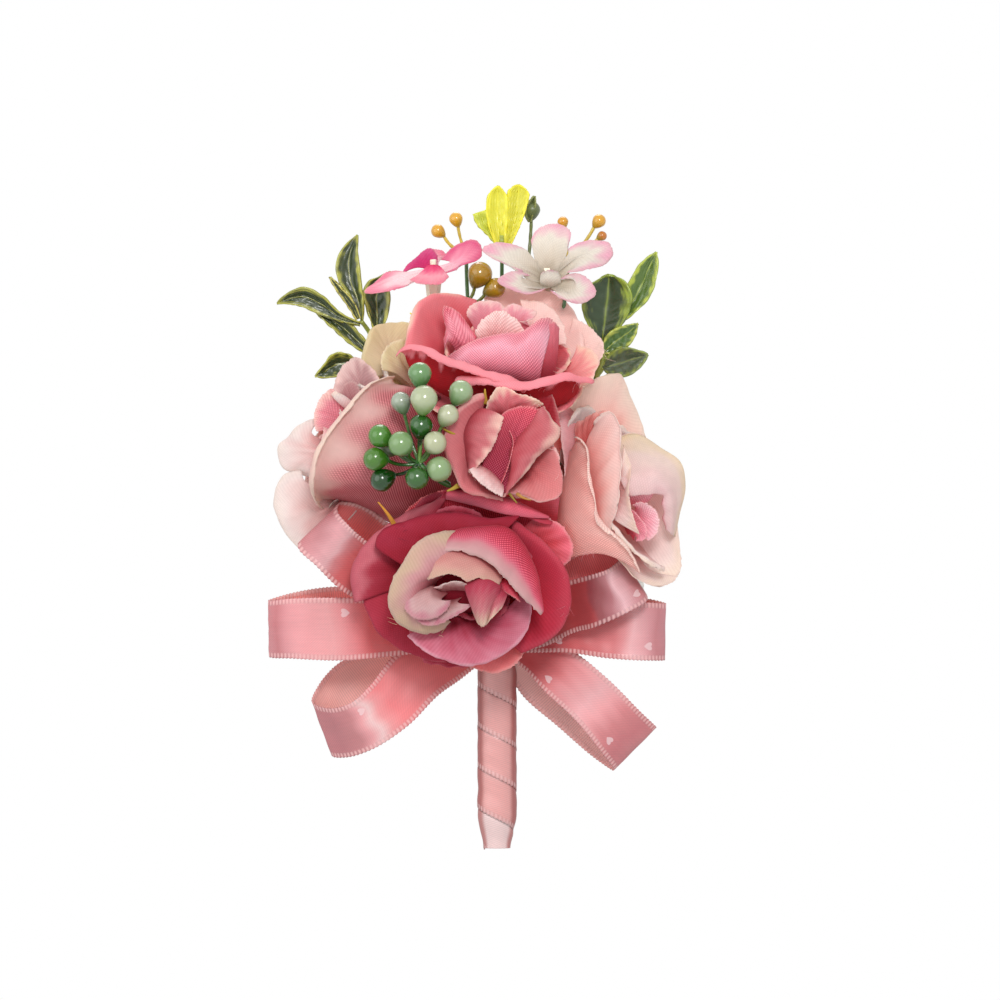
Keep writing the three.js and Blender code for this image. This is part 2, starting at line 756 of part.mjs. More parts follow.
// The berries' places in their cluster as shares of its half width, half height and depth, and their size
const berryShares = [
  [0.04, 1.02, 0.5, 1],
  [0.14, 0.56, 0.9, 1.18],
  [-0.42, 0.5, 0.3, 0.88],
  [0.99, 0.69, 0.55, 1.04],
  [0.69, 0.26, 0.8, 0.93],
  [0.06, 0.06, 0.6, 1],
  [-0.89, -0.13, 0.6, 1],
  [-0.75, -0.33, 0.2, 0.92],
  [-0.4, -0.28, 1, 1.09],
  [0.39, -0.26, 0.95, 1],
  [-1, -0.55, 0.6, 1],
  [0.49, -0.74, 0.9, 1.09],
  [-0.84, -0.94, 0.5, 1],
  [-0.03, -0.91, 0.9, 1],
];

function berrySprayGeometry(loose) {
  const middle = place(cluster.middleShare);
  const at = (x, z, y) =>
    middle.clone().add(vector(x * cluster.halfWidth, -y * cluster.depth, z * cluster.halfHeight));
  const fork = at(0.02, -0.63, -0.1);
  const parts = berryShares.map(([x, z, y, size]) =>
    berryGeometry({ from: fork, middle: at(x, z, y), radius: cluster.berryRadius * size }, loose),
  );
  const foot = at(0.65, -1, -0.7);
  const route = [fork, ...wireFrom(foot, vector(0.05, 0.95, -0.2), [2, 10])];
  const radii = route.map((_, i) => (i < 3 ? cluster.stemDiameter : wire.diameter) / 2 + loose);
  return joined([...parts, rod(route, radii, 5)]);
}

// A spray of leaves: each leaf is [base, tip, width share], and the stalk joins the bases
function leafSprayGeometry({ leaves, nodes, at, width }, loose) {
  const parts = leaves.map(([from, to, widthShare]) =>
    leafGeometry({ from: place(from), to: place(to), width: width * widthShare }, loose),
  );
  const stems = nodes.map((branch) => stalkGeometry(branch.map(place), loose));
  const foot = place(nodes[0][0]);
  const above = place(nodes[0][1]);
  const route = wireFrom(foot, foot.clone().sub(above), at);
  return joined([...parts, ...stems, stalkGeometry(route, loose, wire.diameter)]);
}

const leafSprays = {
  left_leaf_spray: {
    width: 4.4,
    at: [2, 8],
    // Branches from the spray's foot, then the leaves
    nodes: [
      [[-0.57, 0.07, 0.6], [-0.66, 0.14, 0.69], [-0.67, 0.15, 0.71]],
      [[-0.57, 0.07, 0.6], [-0.585, 0.13, 0.675]],
      [[-0.57, 0.07, 0.6], [-0.68, 0.13, 0.592]],
    ],
    leaves: [
      [[-0.665, 0.15, 0.7], [-0.675, 0.13, 0.883], 1],
      [[-0.655, 0.14, 0.685], [-0.8, 0.16, 0.786], 0.5],
      [[-0.66, 0.14, 0.683], [-1.05, 0.16, 0.727], 1],
      [[-0.61, 0.125, 0.61], [-0.885, 0.13, 0.7], 0.9],
      [[-0.582, 0.13, 0.66], [-0.525, 0.11, 0.798], 1.15],
      [[-0.67, 0.13, 0.592], [-0.865, 0.15, 0.552], 0.9],
    ],
  },
  right_leaf_spray: {
    width: 4.4,
    at: [2, 4],
    nodes: [
      [[0.48, 0.16, 0.55], [0.5, 0.17, 0.63]],
      [[0.48, 0.16, 0.55], [0.59, 0.17, 0.68]],
      [[0.48, 0.16, 0.55], [0.53, 0.17, 0.612]],
      [[0.48, 0.16, 0.55], [0.54, 0.17, 0.562]],
    ],
    leaves: [
      [[0.5, 0.17, 0.615], [0.535, 0.2, 0.789], 1.9],
      [[0.585, 0.17, 0.67], [0.762, 0.17, 0.837], 1],
      [[0.52, 0.17, 0.608], [0.668, 0.18, 0.67], 0.7],
      [[0.53, 0.17, 0.56], [0.712, 0.19, 0.615], 0.8],
    ],
  },
};

// A fan of three lobes on its stalk
function topLeafGeometry(loose) {
  const base = place(topLeaf.baseShare);
  const point = (u, v) => {
    const angle = degrees(topLeaf.spread) * (u - 1 / 2) - degrees(topLeaf.lean);
    const lobed = 1 - topLeaf.notchShare * Math.abs(Math.sin(topLeaf.lobes * Math.PI * u + Math.PI / 2));
    const along = topLeaf.stemShare + (1 - topLeaf.stemShare) * v;
    const out = along * (topLeaf.height * lobed + loose);
    return base
      .clone()
      .add(vector(out * Math.sin(angle), -topLeaf.cup * v * Math.abs(2 * u - 1), out * Math.cos(angle)));
  };
  const blade = sheet(point, evenly(9), [0, 0.5, 1], leaf.thickness + 2 * loose);
  const top = base.clone().add(vector(0, 0, topLeaf.ribShare * topLeaf.height));
  const route = [top, ...wireFrom(base, vector(0, 0, -1), [2, 6])];
  return joined([blade, stalkGeometry(route, loose, wire.diameter)]);
}

// Buds on bent stalks that part from one wire
function budSprayGeometry({ footShare, buds, radius, at }, loose) {
  const foot = place(footShare);
  const parts = buds.map(([middleShare, size]) =>
    berryGeometry({ from: foot, middle: place(middleShare), radius: radius * size }, loose),
  );
  const route = wireFrom(foot, vector(0, 0, -1), at);
  return joined([...parts, stalkGeometry(route, loose, wire.diameter)]);
}

const budSprays = {
  green_bud: { footShare: [0.155, 0.06, 0.84], buds: [[[0.175, 0.06, 0.947], 1]], radius: 1.7, at: [1, 2] },
  olive_berries: {
    footShare: [-0.15, 0.26, 0.73],
    buds: [
      [[-0.08, 0.28, 0.793], 1],
      [[-0.02, 0.27, 0.755], 0.85],
    ],
    radius: 2.3,
    at: [2, 11],
  },
  stamens_left: {
    footShare: [-0.15, 0.13, 0.85],
    buds: [
      [[-0.197, 0.14, 0.922], 1],
      [[-0.283, 0.14, 0.894], 1],
    ],
    radius: 1.3,
    at: [2, 7],
  },
  stamens_right: {
    footShare: [0.345, 0.2, 0.84],
    buds: [
      [[0.318, 0.19, 0.917], 0.8],
      [[0.49, 0.19, 0.917], 1],
      [[0.5, 0.2, 0.885], 0.7],
    ],
    radius: 1.3,
    at: [2, 5],
  },
};

// How far down a flower's tube, as a share of its length, it has which share of its widest radius
const tubeShares = [
  [0.04, 1],
  [0.5, 0.75],
  [0.9, 0.6],
];

// Small flowers: a stamped five-petal disc on a tube with its wire. The group's origin is the tube's top.
const smallFlowers = {
  white_flower: {
    radius: 11,
    tubeLength: 6,
    tubeRadius: 1.7,
    baseShare: [0.24, 0.25, 0.8],
    facing: [0.05, -0.9, 0.43],
    lean: 26,
    rim: -14,
    leave: [-0.1, 0.25, -0.95],
    at: [1, 1],
    petals: colours.whitePetal,
    tube: colours.whitePetal,
  },
  side_flower: {
    radius: 9.5,
    tubeLength: 7,
    tubeRadius: 1.9,
    baseShare: [-0.31, 0.25, 0.81],
    facing: [0, -0.3, 0.95],
    lean: 30,
    rim: -10,
    leave: [0.42, 0.2, -0.88],
    at: [1, 5],
    petals: colours.tippedPetal,
    tube: colours.whitePetal,
  },
};

for (const flower of Object.values(smallFlowers)) {
  flower.group = new THREE.Group();
  flower.group.position.copy(place(flower.baseShare));
  flower.axis = vector(...flower.facing).normalize();
  flower.group.quaternion.setFromUnitVectors(vector(0, 0, 1), flower.axis);
  corsage.add(flower.group);
}

function addFlowerStem(name, flower) {
  flower.group.updateWorldMatrix(true, false);
  const toLocal = flower.group.matrixWorld.clone().invert();
  const foot = flower.group.position.clone().addScaledVector(flower.axis, -flower.tubeLength);
  const route = wireFrom(foot, vector(...flower.leave), flower.at).map((p) => p.applyMatrix4(toLocal));
  const { tubeLength, tubeRadius } = flower;
  const profile = [
    [-petal.layerPitch - clearance, calyx.pinRadius],
    [0, calyx.pinRadius],
    ...tubeShares.map(([down, wide]) => [down * tubeLength, wide * tubeRadius]),
    [tubeLength, wire.diameter],
  ];
  const points = [...profile.map(([down]) => vector(0, 0, -down)), ...route.slice(1)];
  const radii = [...profile.map(([, radius]) => radius), ...route.slice(1).map(() => wire.diameter / 2)];
  add(flower.group, name + "_stem", flower.tube, (loose) => rod(points, radii.map((r) => r + loose), 6));
}

function addFlowerPetals(name, flower) {
  const disc = {
    petals: 5,
    length: flower.radius - calyx.pinRadius,
    bowlShare: 0.3,
    lean: flower.lean,
    rim: flower.rim,
    notchShare: 0.72,
    pointedness: 0.75,
    lap: 0,
    wave: 0.5,
    turn: 18,
    thickness: petal.thickness,
    lift: clearance + petal.thickness / 2,
  };
  add(flower.group, name + "_petals", flower.petals, (loose) => discGeometry(disc, loose));
}

// Assembly, from the stiff pieces to the soft ones and from the front to the back

add(corsage, "wrist_pad", colours.felt, padGeometry);
add(corsage, "wristband", colours.elastic, bandGeometry);
add(corsage, "neck_tape", colours.tape, neckGeometry);
add(corsage, "stem_ribbon", colours.satin, wrapGeometry);
add(corsage, "bow_band", colours.satin, knotGeometry);
for (const [name, rose] of Object.entries(roses)) addRoseStem(name, rose);
for (const [name, flower] of Object.entries(smallFlowers)) addFlowerStem(name, flower);
add(corsage, "berry_spray", colours.berryGreen, berrySprayGeometry);
for (const [name, spray] of Object.entries(leafSprays))
  add(corsage, name, colours.leafGreen, (loose) => leafSprayGeometry(spray, loose));
add(corsage, "top_leaf", colours.leafYellow, topLeafGeometry);
for (const [name, spray] of Object.entries(budSprays))
  add(corsage, name, name === "green_bud" ? colours.leafGreen : colours.stamen, (loose) =>
    budSprayGeometry(spray, loose),
  );
for (const [name, loop] of Object.entries(loops))
  add(corsage, name, colours.satin, (loose) => loopGeometry(loop, loose));
for (const [name, rose] of Object.entries(roses)) addRosePetals(name, rose);
for (const [name, flower] of Object.entries(smallFlowers)) addFlowerPetals(name, flower);

corsage.name = "wrist_corsage";
export default corsage;
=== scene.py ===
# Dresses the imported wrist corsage: cloth roses and small flowers, satin ribbon loops, a ribbon-wound
# stem, moulded leaves and berries, and the elastic wristband. Sizes are in millimetres until a mesh is
# built. A point px,py,y is a pixel of the 1000 x 1000 frame and a depth along +Y.
import math
import bpy
import numpy as np
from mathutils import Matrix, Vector


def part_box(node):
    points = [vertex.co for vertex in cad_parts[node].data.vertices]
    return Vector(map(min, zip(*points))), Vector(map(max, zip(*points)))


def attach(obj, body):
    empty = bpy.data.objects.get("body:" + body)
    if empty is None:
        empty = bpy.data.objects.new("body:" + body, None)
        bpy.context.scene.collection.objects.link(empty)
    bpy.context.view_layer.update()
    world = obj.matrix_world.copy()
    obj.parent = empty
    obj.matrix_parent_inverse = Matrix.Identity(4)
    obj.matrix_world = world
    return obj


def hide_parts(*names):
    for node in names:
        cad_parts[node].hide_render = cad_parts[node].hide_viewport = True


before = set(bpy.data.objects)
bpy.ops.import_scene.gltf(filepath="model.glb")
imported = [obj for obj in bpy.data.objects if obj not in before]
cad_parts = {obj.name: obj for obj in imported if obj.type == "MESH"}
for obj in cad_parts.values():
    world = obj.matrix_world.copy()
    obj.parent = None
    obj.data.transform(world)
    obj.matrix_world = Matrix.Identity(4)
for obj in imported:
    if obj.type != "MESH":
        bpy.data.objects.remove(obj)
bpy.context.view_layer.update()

MM = 0.001
TAU = 2 * math.pi
PIXELS_PER_MM = 5.4
FRAME_PIXELS = 1000
ORIGIN_PIXEL = (497, 610)
FOCUS_Y = -25.0
CAMERA_DISTANCE = 1200.0
SENSOR = 36.0

# Camera and pixels

frame_width = FRAME_PIXELS / PIXELS_PER_MM
centre_x = (FRAME_PIXELS / 2 - ORIGIN_PIXEL[0]) / PIXELS_PER_MM
centre_z = (ORIGIN_PIXEL[1] - FRAME_PIXELS / 2) / PIXELS_PER_MM


def at(points):
    """The places in the frame, in mm, of pixels at a depth."""
    p = np.asarray(points, float).reshape(-1, 3)
    scale = (p[:, 2] - FOCUS_Y + CAMERA_DISTANCE) / CAMERA_DISTANCE / PIXELS_PER_MM
    x = centre_x + (p[:, 0] - FRAME_PIXELS / 2) * scale
    z = centre_z - (p[:, 1] - FRAME_PIXELS / 2) * scale
    return np.stack([x, p[:, 2], z], 1)


def curves_of(text):
    """The curves, in mm, that a text writes as points px,py,y, with a slash between two curves."""
    return [at([point.split(",") for point in curve.split()]) for curve in text.split("/")]


camera = bpy.data.objects.new("camera", bpy.data.cameras.new("camera"))
bpy.context.scene.collection.objects.link(camera)
camera.data.sensor_width = SENSOR
camera.data.lens = SENSOR * CAMERA_DISTANCE / frame_width
camera.location = (centre_x * MM, (FOCUS_Y - CAMERA_DISTANCE) * MM, centre_z * MM)
camera.rotation_euler = (math.pi / 2, 0, 0)
camera.data.clip_start = 0.05
camera.data.clip_end = 20
bpy.context.scene.camera = camera


# Numbers

def unit(v):
    v = np.asarray(v, float)
    return v / np.maximum(np.linalg.norm(v, axis=-1, keepdims=True), 1e-9)


def smooth(low, high, x):
    t = np.clip((np.asarray(x, float) - low) / (high - low), 0, 1)
    return t * t * (3 - 2 * t)


def linear(code):
    """A colour written as sRGB hex, in linear light."""
    c = np.array([int(code[i : i + 2], 16) for i in (1, 3, 5)]) / 255
    return np.where(c <= 0.04045, c / 12.92, ((c + 0.055) / 1.055) ** 2.4)


def blend_of(one, other, share):
    """From one hex colour to the other, in linear light, by shares that vary."""
    return linear(one) * (1 - share) + linear(other) * share


def ramp(stops, t):
    """Linear-light colours at t along stops, written as a text of places and hex colours by turns."""
    words = stops.split()
    places = np.array(words[::2], float)
    colours = np.array([linear(code) for code in words[1::2]])
    return np.stack([np.interp(t, places, colours[:, k]) for k in range(3)], -1)


def joined(*parts):
    """Arrays that fit each other, as the coordinates of one grid."""
    return np.stack(np.broadcast_arrays(*parts), -1)


def reached(path):
    """The length along a path at each of its points."""
    return np.concatenate([[0], np.cumsum(np.linalg.norm(np.diff(path, axis=0), axis=1))])


def spline(points, ts):
    """A smooth curve through points (k, ..., 3) at the shares ts of its length."""
    p = np.asarray(points, float)
    k = len(p)
    lengths = np.linalg.norm(np.diff(p, axis=0), axis=-1).reshape(k - 1, -1).mean(1)
    u = np.concatenate([[0], np.cumsum(np.maximum(lengths, 1e-6))])
    u = u / u[-1]
    h = np.diff(u)
    wide = (1,) * (p.ndim - 1)
    slope = np.diff(p, axis=0) / h.reshape((k - 1,) + wide)
    m = np.empty_like(p)
    if k == 2:
        m[:] = slope[0]
    else:
        w = (h[1:] / (h[1:] + h[:-1])).reshape((k - 2,) + wide)
        m[1:-1] = w * slope[:-1] + (1 - w) * slope[1:]
        m[0] = 2 * slope[0] - m[1]
        m[-1] = 2 * slope[-1] - m[-2]
    ts = np.asarray(ts, float)
    i = np.clip(np.searchsorted(u, ts, side="right") - 1, 0, k - 2)
    h = (u[i + 1] - u[i]).reshape((len(ts),) + wide)
    q = ((ts - u[i]) / (u[i + 1] - u[i])).reshape(h.shape)
    return (
        (2 * q**3 - 3 * q**2 + 1) * p[i]
        + (q**3 - 2 * q**2 + q) * h * m[i]
        + (3 * q**2 - 2 * q**3) * p[i + 1]
        + (q**3 - q**2) * h * m[i + 1]
    )


def wander(rng, x, y, waves=5, scale=1.0):
    """A smooth random field with values about -1 to 1."""
    total = np.zeros(np.broadcast(x, y).shape)
    for _ in range(waves):
        a, b = rng.normal(0, scale, 2)
        total = total + np.sin(TAU * (a * x + b * y) + rng.uniform(0, TAU))
    return total / math.sqrt(waves)


def normals_of(grid, closed=False):
    """Normals of a grid (rows, columns, 3)."""
    along = np.gradient(grid, axis=0)
    if closed:
        across = (np.roll(grid, -1, 1) - np.roll(grid, 1, 1)) / 2
    else:
        across = np.gradient(grid, axis=1)
    return unit(np.cross(across, along))


# Meshes

def set_dye(mesh, colours):
    """Stores each vertex's colour, in linear light."""
    layer = mesh.color_attributes.new("dye", "FLOAT_COLOR", "POINT")
    rgba = np.concatenate([colours, np.ones((len(colours), 1))], 1)
    layer.data.foreach_set("color", rgba.astype(np.float32).ravel())


def capped(rings, ends=None):
    """The points and faces of a closed shell round rings, drawn together in a point at each end."""
    rings = np.asarray(rings)
    rows, columns = rings.shape[:2]
    n = rows * columns
    index = np.arange(n).reshape(rows, columns)
    after = np.roll(index, -1, 1)
    quads = np.stack([index[:-1], after[:-1], after[1:], index[1:]], -1).reshape(-1, 4)
    cap = lambda one, other, k: np.stack([one, other, np.full(columns, k), np.full(columns, k)], -1)
    faces = np.concatenate([quads, cap(after[0], index[0], n), cap(index[-1], after[-1], n + 1)])
    if ends is None:
        ends = rings[[0, -1]].mean(1)
    return np.concatenate([rings.reshape(n, 3), ends]), faces


class Piece:
    """Collects closed shells, then becomes one object that rides on the part in its node's place."""

    def __init__(self, node, stuff, slot, replaces=True):
        self.name, self.slot = node + "_" + stuff, slot
        self.replaces = [node] if replaces else []
        self.shells = []
        self.count = 0

    def add(self, verts, faces, *values):
        """A shell, with each vertex's flat place in mm, colour, share of back and share of net."""
        widths = ((len(verts), 2), (len(verts), 3), len(verts), len(verts))
        values = values + (0.0,) * (len(widths) - len(values))
        values = [np.broadcast_to(v, width) for v, width in zip(values, widths)]
        self.shells.append([verts, faces + self.count, *values])
        self.count += len(verts)

    def sheet(self, grid, thickness, uv, colour, inside=None, closed=False, thin_rim=0.0, net=0.0):
        """A sheet with both its sides and its edge, round the grid. Its back may have its own colour."""
        rows, columns = grid.shape[:2]
        half = np.full((rows, columns, 1), thickness / 2)
        if thin_rim:
            rim = smooth(0, 1, np.arange(rows)[::-1] / max(2, rows * 0.12))
            half *= (thin_rim + (1 - thin_rim) * rim)[:, None, None]
        shift = normals_of(grid, closed) * half
        n = rows * columns
        index = np.arange(n).reshape(rows, columns)
        right = np.roll(index, -1, 1) if closed else index[:, 1:]
        left = index if closed else index[:, :-1]
        front = np.stack([left[:-1], right[:-1], right[1:], left[1:]], -1).reshape(-1, 4)
        ring = lambda line: np.append(line, line[0]) if closed else line
        lines = [ring(index[0]), ring(index[-1])[::-1]]
        if not closed:
            lines += [index[::-1, 0], index[:, -1]]
        edges = [np.stack([q[1:], q[:-1], q[:-1] + n, q[1:] + n], -1) for q in lines]
        flat = lambda x, k: np.broadcast_to(x, (rows, columns, k)).reshape(n, k)
        self.add(
            np.concatenate([side.reshape(n, 3) for side in (grid + shift, grid - shift)]),
            np.concatenate([front, front[:, ::-1] + n, *edges]),
            np.tile(flat(uv, 2), (2, 1)),
            np.concatenate([flat(colour, 3), flat(colour if inside is None else inside, 3)]),
            np.repeat([0.0, 1.0], n),
            np.tile(flat(np.asarray(net)[..., None], 1).ravel(), 2),
        )

    def tube(self, path, radii, sides, colour, squash=1.0):
        """A closed rod along the path, with a radius at each point."""
        path = np.asarray(path, float)
        radii = np.broadcast_to(radii, (len(path),))
        tangent = unit(np.gradient(path, axis=0))
        normal = np.cross(tangent[0], (0.31, 0.83, 0.47))
        angle = TAU * np.arange(sides) / sides
        cos, sin = np.cos(angle)[:, None], np.sin(angle)[:, None]
        rings = []
        for middle, radius, t in zip(path, radii, tangent):
            normal = unit(normal - t * (normal @ t))
            rings.append(middle + radius * cos * normal + squash * radius * sin * np.cross(t, normal))
        along = reached(path)
        u = np.tile(np.arange(sides) / sides * TAU * radii.max(), len(path))
        uv = np.stack([u, np.repeat(along, sides)], 1)
        uv = np.concatenate([uv, [[0, along[0]], [0, along[-1]]]])
        if np.ndim(colour) == 2:
            colour = np.concatenate([np.repeat(colour, sides, 0), colour[:1], colour[-1:]])
        self.add(*capped(rings, path[[0, -1]]), uv, colour)

    def build(self, material):
        verts, faces, uvs, colours, backs, nets = [np.concatenate(parts) for parts in zip(*self.shells)]
        lists = [f[:3] if f[2] == f[3] else f for f in faces.tolist()]
        mesh = bpy.data.meshes.new(self.name)
        mesh.from_pydata((verts * MM).tolist(), [], lists)
        corners = np.empty(len(mesh.loops), np.int32)
        mesh.loops.foreach_get("vertex_index", corners)
        layer = mesh.uv_layers.new(name="flat_mm")
        layer.data.foreach_set("uv", uvs[corners].astype(np.float32).ravel())
        set_dye(mesh, colours)
        for key, values in (("back", backs), ("net", nets)):
            layer = mesh.attributes.new(key, "FLOAT", "POINT")
            layer.data.foreach_set("value", values.astype(np.float32))
        mesh.polygons.foreach_set("use_smooth", np.ones(len(mesh.polygons), bool))
        mesh.update()
        obj = bpy.data.objects.new(self.name, mesh)
        bpy.context.scene.collection.objects.link(obj)
        mesh.materials.append(material)
        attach(obj, "root")
        if self.replaces:
            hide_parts(*self.replaces)
        return obj

    def lay(self, material, area, held, rests_on, width=None):
        """Builds the piece with its material; its area, hold, what it rests on and its width are not used."""
        self.build(material)


def flat_uv(grid):
    """Lengths along a grid's rows from its middle column, and along its columns from its first row."""
    step = np.linalg.norm(np.diff(grid, axis=1), axis=2)
    across = np.concatenate([np.zeros((len(grid), 1)), np.cumsum(step, 1)], 1)
    across -= across[:, grid.shape[1] // 2][:, None]
    down = np.linalg.norm(np.diff(grid, axis=0), axis=2).mean(1)
    along = np.concatenate([[0], np.cumsum(down)])[:, None]
    return np.stack([across, np.broadcast_to(along, across.shape)], -1)


def area_of(grid):
    """The grid's area in square mm."""
    a, b, c, d = grid[:-1, :-1], grid[:-1, 1:], grid[1:, 1:], grid[1:, :-1]
    return np.linalg.norm(np.cross(c - a, d - b), axis=2).sum() / 2


# Materials

class Nodes:
    """Short names for making the nodes of a material or of the world."""

    def __init__(self, owner):
        owner.use_nodes = True
        self.owner, self.tree = owner, owner.node_tree
        self.tree.nodes.clear()

    def make(self, kind, inputs=(), **settings):
        node = self.tree.nodes.new("ShaderNode" + kind)
        for key, value in settings.items():
            setattr(node, key, value)
        for key, value in dict(inputs).items():
            if isinstance(value, bpy.types.Node):
                value = value.outputs[0]
            if isinstance(value, bpy.types.NodeSocket):
                self.tree.links.new(value, node.inputs[key])
            else:
                node.inputs[key].default_value = value
        return node

    def math(self, operation, *values):
        return self.make("Math", dict(enumerate(values)), operation=operation).outputs[0]

    def plus(self, a, b):
        return self.math("ADD", a, b)

    def minus(self, a, b):
        return self.math("SUBTRACT", a, b)

    def times(self, a, b):
        return self.math("MULTIPLY", a, b)

    def line(self, x, gain, start):
        """start + gain * x."""
        return self.math("MULTIPLY_ADD", x, gain, start)

    def dye(self):
        return self.make("Attribute", attribute_name="dye").outputs["Color"]

    def share(self, name):
        return self.make("Attribute", attribute_name=name).outputs["Fac"]

    def flat(self):
        """The u and v of the piece's flat lengths in mm."""
        uv = self.make("UVMap", uv_map="flat_mm")
        parts = self.make("SeparateXYZ", {0: uv})
        return uv.outputs[0], parts.outputs[0], parts.outputs[1]

    def wave(self, x, pitch):
        """0 to 1 and back along x, once a pitch."""
        return self.line(self.math("SINE", self.times(x, TAU / pitch)), 0.5, 0.5)

    def noise(self, scale, detail=3.0, rough=0.6, vector=None):
        if vector is None:
            vector = self.make("TexCoord").outputs["Object"]
        inputs = {"Vector": vector, "Scale": scale, "Detail": detail, "Roughness": rough}
        return self.make("TexNoise", inputs).outputs[0]

    def scaled(self, colour, factor):
        """The colour times a number that varies."""
        grey = self.make("CombineXYZ", {0: factor, 1: factor, 2: factor})
        return self.make("VectorMath", {0: colour, 1: grey}, operation="MULTIPLY").outputs[0]

    def mixed(self, share, one, other):
        """From one colour to the other by the share."""
        return self.make("Mix", {0: share, 6: one, 7: other}, data_type="RGBA").outputs[2]

    def gamma(self, colour, power):
        return self.make("Gamma", {"Color": colour, "Gamma": power}).outputs[0]

    def bump(self, height, strength, distance):
        inputs = {"Height": height, "Strength": strength, "Distance": distance * MM}
        return self.make("Bump", inputs).outputs[0]

    def surface(self, colour, roughness, normal, clear=0.0, deeper=1.0, **others):
        """The material with its surface. A clear share of the light comes through, in a deeper colour."""
        inputs = {"Base Color": colour, "Roughness": roughness, "Normal": normal}
        inputs.update({key.replace("_", " "): value for key, value in others.items()})
        shader = self.make("BsdfPrincipled", inputs)
        if clear:
            through = {"Color": self.gamma(colour, deeper), "Normal": normal}
            shader = self.make("MixShader", {0: clear, 1: shader, 2: self.make("BsdfTranslucent", through)})
        self.make("OutputMaterial", {"Surface": shader})
        return self.owner


def material_nodes(name):
    return Nodes(bpy.data.materials.new(name))


def cloth_material(name, pitch, clear, sheen=0.06):
    """Thin woven cloth that lets some light through, coloured by the piece's dye, its threads by "net"."""
    n = material_nodes(name)
    uv, u, v = n.flat()
    slant = math.radians(38)
    p = n.plus(n.times(u, math.cos(slant)), n.times(v, math.sin(slant)))
    q = n.minus(n.times(v, math.cos(slant)), n.times(u, math.sin(slant)))
    wobble = n.times(n.noise(0.35, 2.0, 0.5, uv), 0.5)
    threads = n.times(n.wave(n.plus(p, wobble), pitch), n.wave(q, pitch * 1.2))
    threads = n.math("POWER", threads, 0.7)
    slub = n.noise(0.9, 2.0, 0.5, uv)
    dye = n.dye()
    patches = n.line(n.noise(70.0, 2.0), 2.2, -0.1)
    # Net: painted glints on the threads and painted shade in the gaps between them, over the weave's pattern
    depth = n.times(n.share("net"), n.math("MAXIMUM", patches, 0.25))
    light = n.scaled(dye, n.line(depth, 0.38, 1.0))
    woven = n.mixed(threads, n.gamma(dye, n.line(depth, 0.6, 1.0)), light)
    lift = n.plus(1.0, n.line(n.noise(160.0, 3.0), 0.14, -0.07))
    colour = n.scaled(woven, n.plus(lift, n.line(slub, 0.08, -0.04)))
    return n.surface(
        colour, n.line(threads, -0.15, 0.7), n.bump(threads, 0.3, 0.06), clear, 1.35,
        Sheen_Weight=sheen, Sheen_Roughness=0.4, Specular_IOR_Level=0.12,
    )


RIBBON_WIDTH = 10.0
RIBBON_THICKNESS = 0.24
PICOT_PITCH = 0.75
PICOT_REACH = 0.16
PICOT_STEPS = 6
HEART_PERIOD = 17.0
HEART_SIZE = 0.7
HEART_PLACE = (2.6, HEART_PERIOD / 2 + 1.2)
HEART_COLOUR = (0.83, 0.66, 0.68, 1.0)
BEAD_COLOUR = (0.87, 0.56, 0.55, 1.0)
BEAD_MIDDLE, BEAD_HALF, EDGE_FROM = 4.65, 0.52, 4.15


def satin_material(name, hearts):
    """Satin ribbon: a smooth shining face, a ribbed back and looped edges. u runs across it."""
    n = material_nodes(name)
    uv, u, v = n.flat()
    dye = n.dye()
    back = n.share("back")
    ribs = n.wave(v, 0.42)
    twill = n.wave(n.plus(u, n.times(v, 0.8)), 0.4)
    height = n.make("Mix", {0: back, 2: n.times(twill, 0.35), 3: n.times(ribs, 0.7)}).outputs[0]
    streak = n.make("Mapping", {"Vector": uv, "Scale": (4.0, 0.18, 1.0)}).outputs[0]
    streaks = n.noise(1.0, 2.0, 0.5, streak)
    lift = n.plus(n.line(height, 0.3, 0.86), n.line(streaks, 0.14, -0.07))
    colour = n.scaled(dye, lift)
    if hearts:
        # v may lie below 0, so that the hearts are counted from 400 periods on
        x = n.math("DIVIDE", n.minus(u, HEART_PLACE[0]), HEART_SIZE)
        along = n.math("MODULO", n.plus(v, 400 * HEART_PERIOD), HEART_PERIOD)
        y = n.math("DIVIDE", n.minus(along, HEART_PLACE[1]), HEART_SIZE)
        y = n.minus(y, n.times(n.math("POWER", n.math("ABSOLUTE", x), 0.667), 0.75))
        r = n.plus(n.times(x, x), n.times(y, y))
        inside = n.times(n.math("LESS_THAN", r, 1.0), n.math("LESS_THAN", back, 0.5))
        colour = n.mixed(n.times(inside, 0.8), colour, HEART_COLOUR)
    side = n.math("ABSOLUTE", u)
    margin = n.math("GREATER_THAN", side, EDGE_FROM)
    swell = n.math("DIVIDE", n.minus(side, BEAD_MIDDLE), BEAD_HALF)
    swell = n.math("MAXIMUM", n.minus(1.0, n.times(swell, swell)), 0.0)
    bead = n.times(n.math("POWER", n.wave(v, PICOT_PITCH), 0.7), n.math("POWER", swell, 0.5))
    edge = n.times(margin, bead)
    colour = n.scaled(colour, n.line(margin, -0.12, 1.0))
    colour = n.mixed(n.times(margin, n.times(bead, 0.8)), colour, BEAD_COLOUR)
    normal = n.bump(n.plus(height, n.times(edge, 2.0)), 0.3, 0.06)
    roughness = n.plus(n.line(back, 0.15, 0.33), n.times(streaks, 0.1))
    return n.surface(
        colour, roughness, normal, 0.36, 1.5,
        Sheen_Weight=0.1, Sheen_Roughness=0.35, Specular_IOR_Level=1.0,
        Specular_Tint=(1.0, 0.74, 0.74, 1.0), IOR=1.7, Anisotropic=0.7, Anisotropic_Rotation=0.25,
        Tangent=n.make("Tangent", direction_type="UV_MAP", uv_map="flat_mm"),
    )


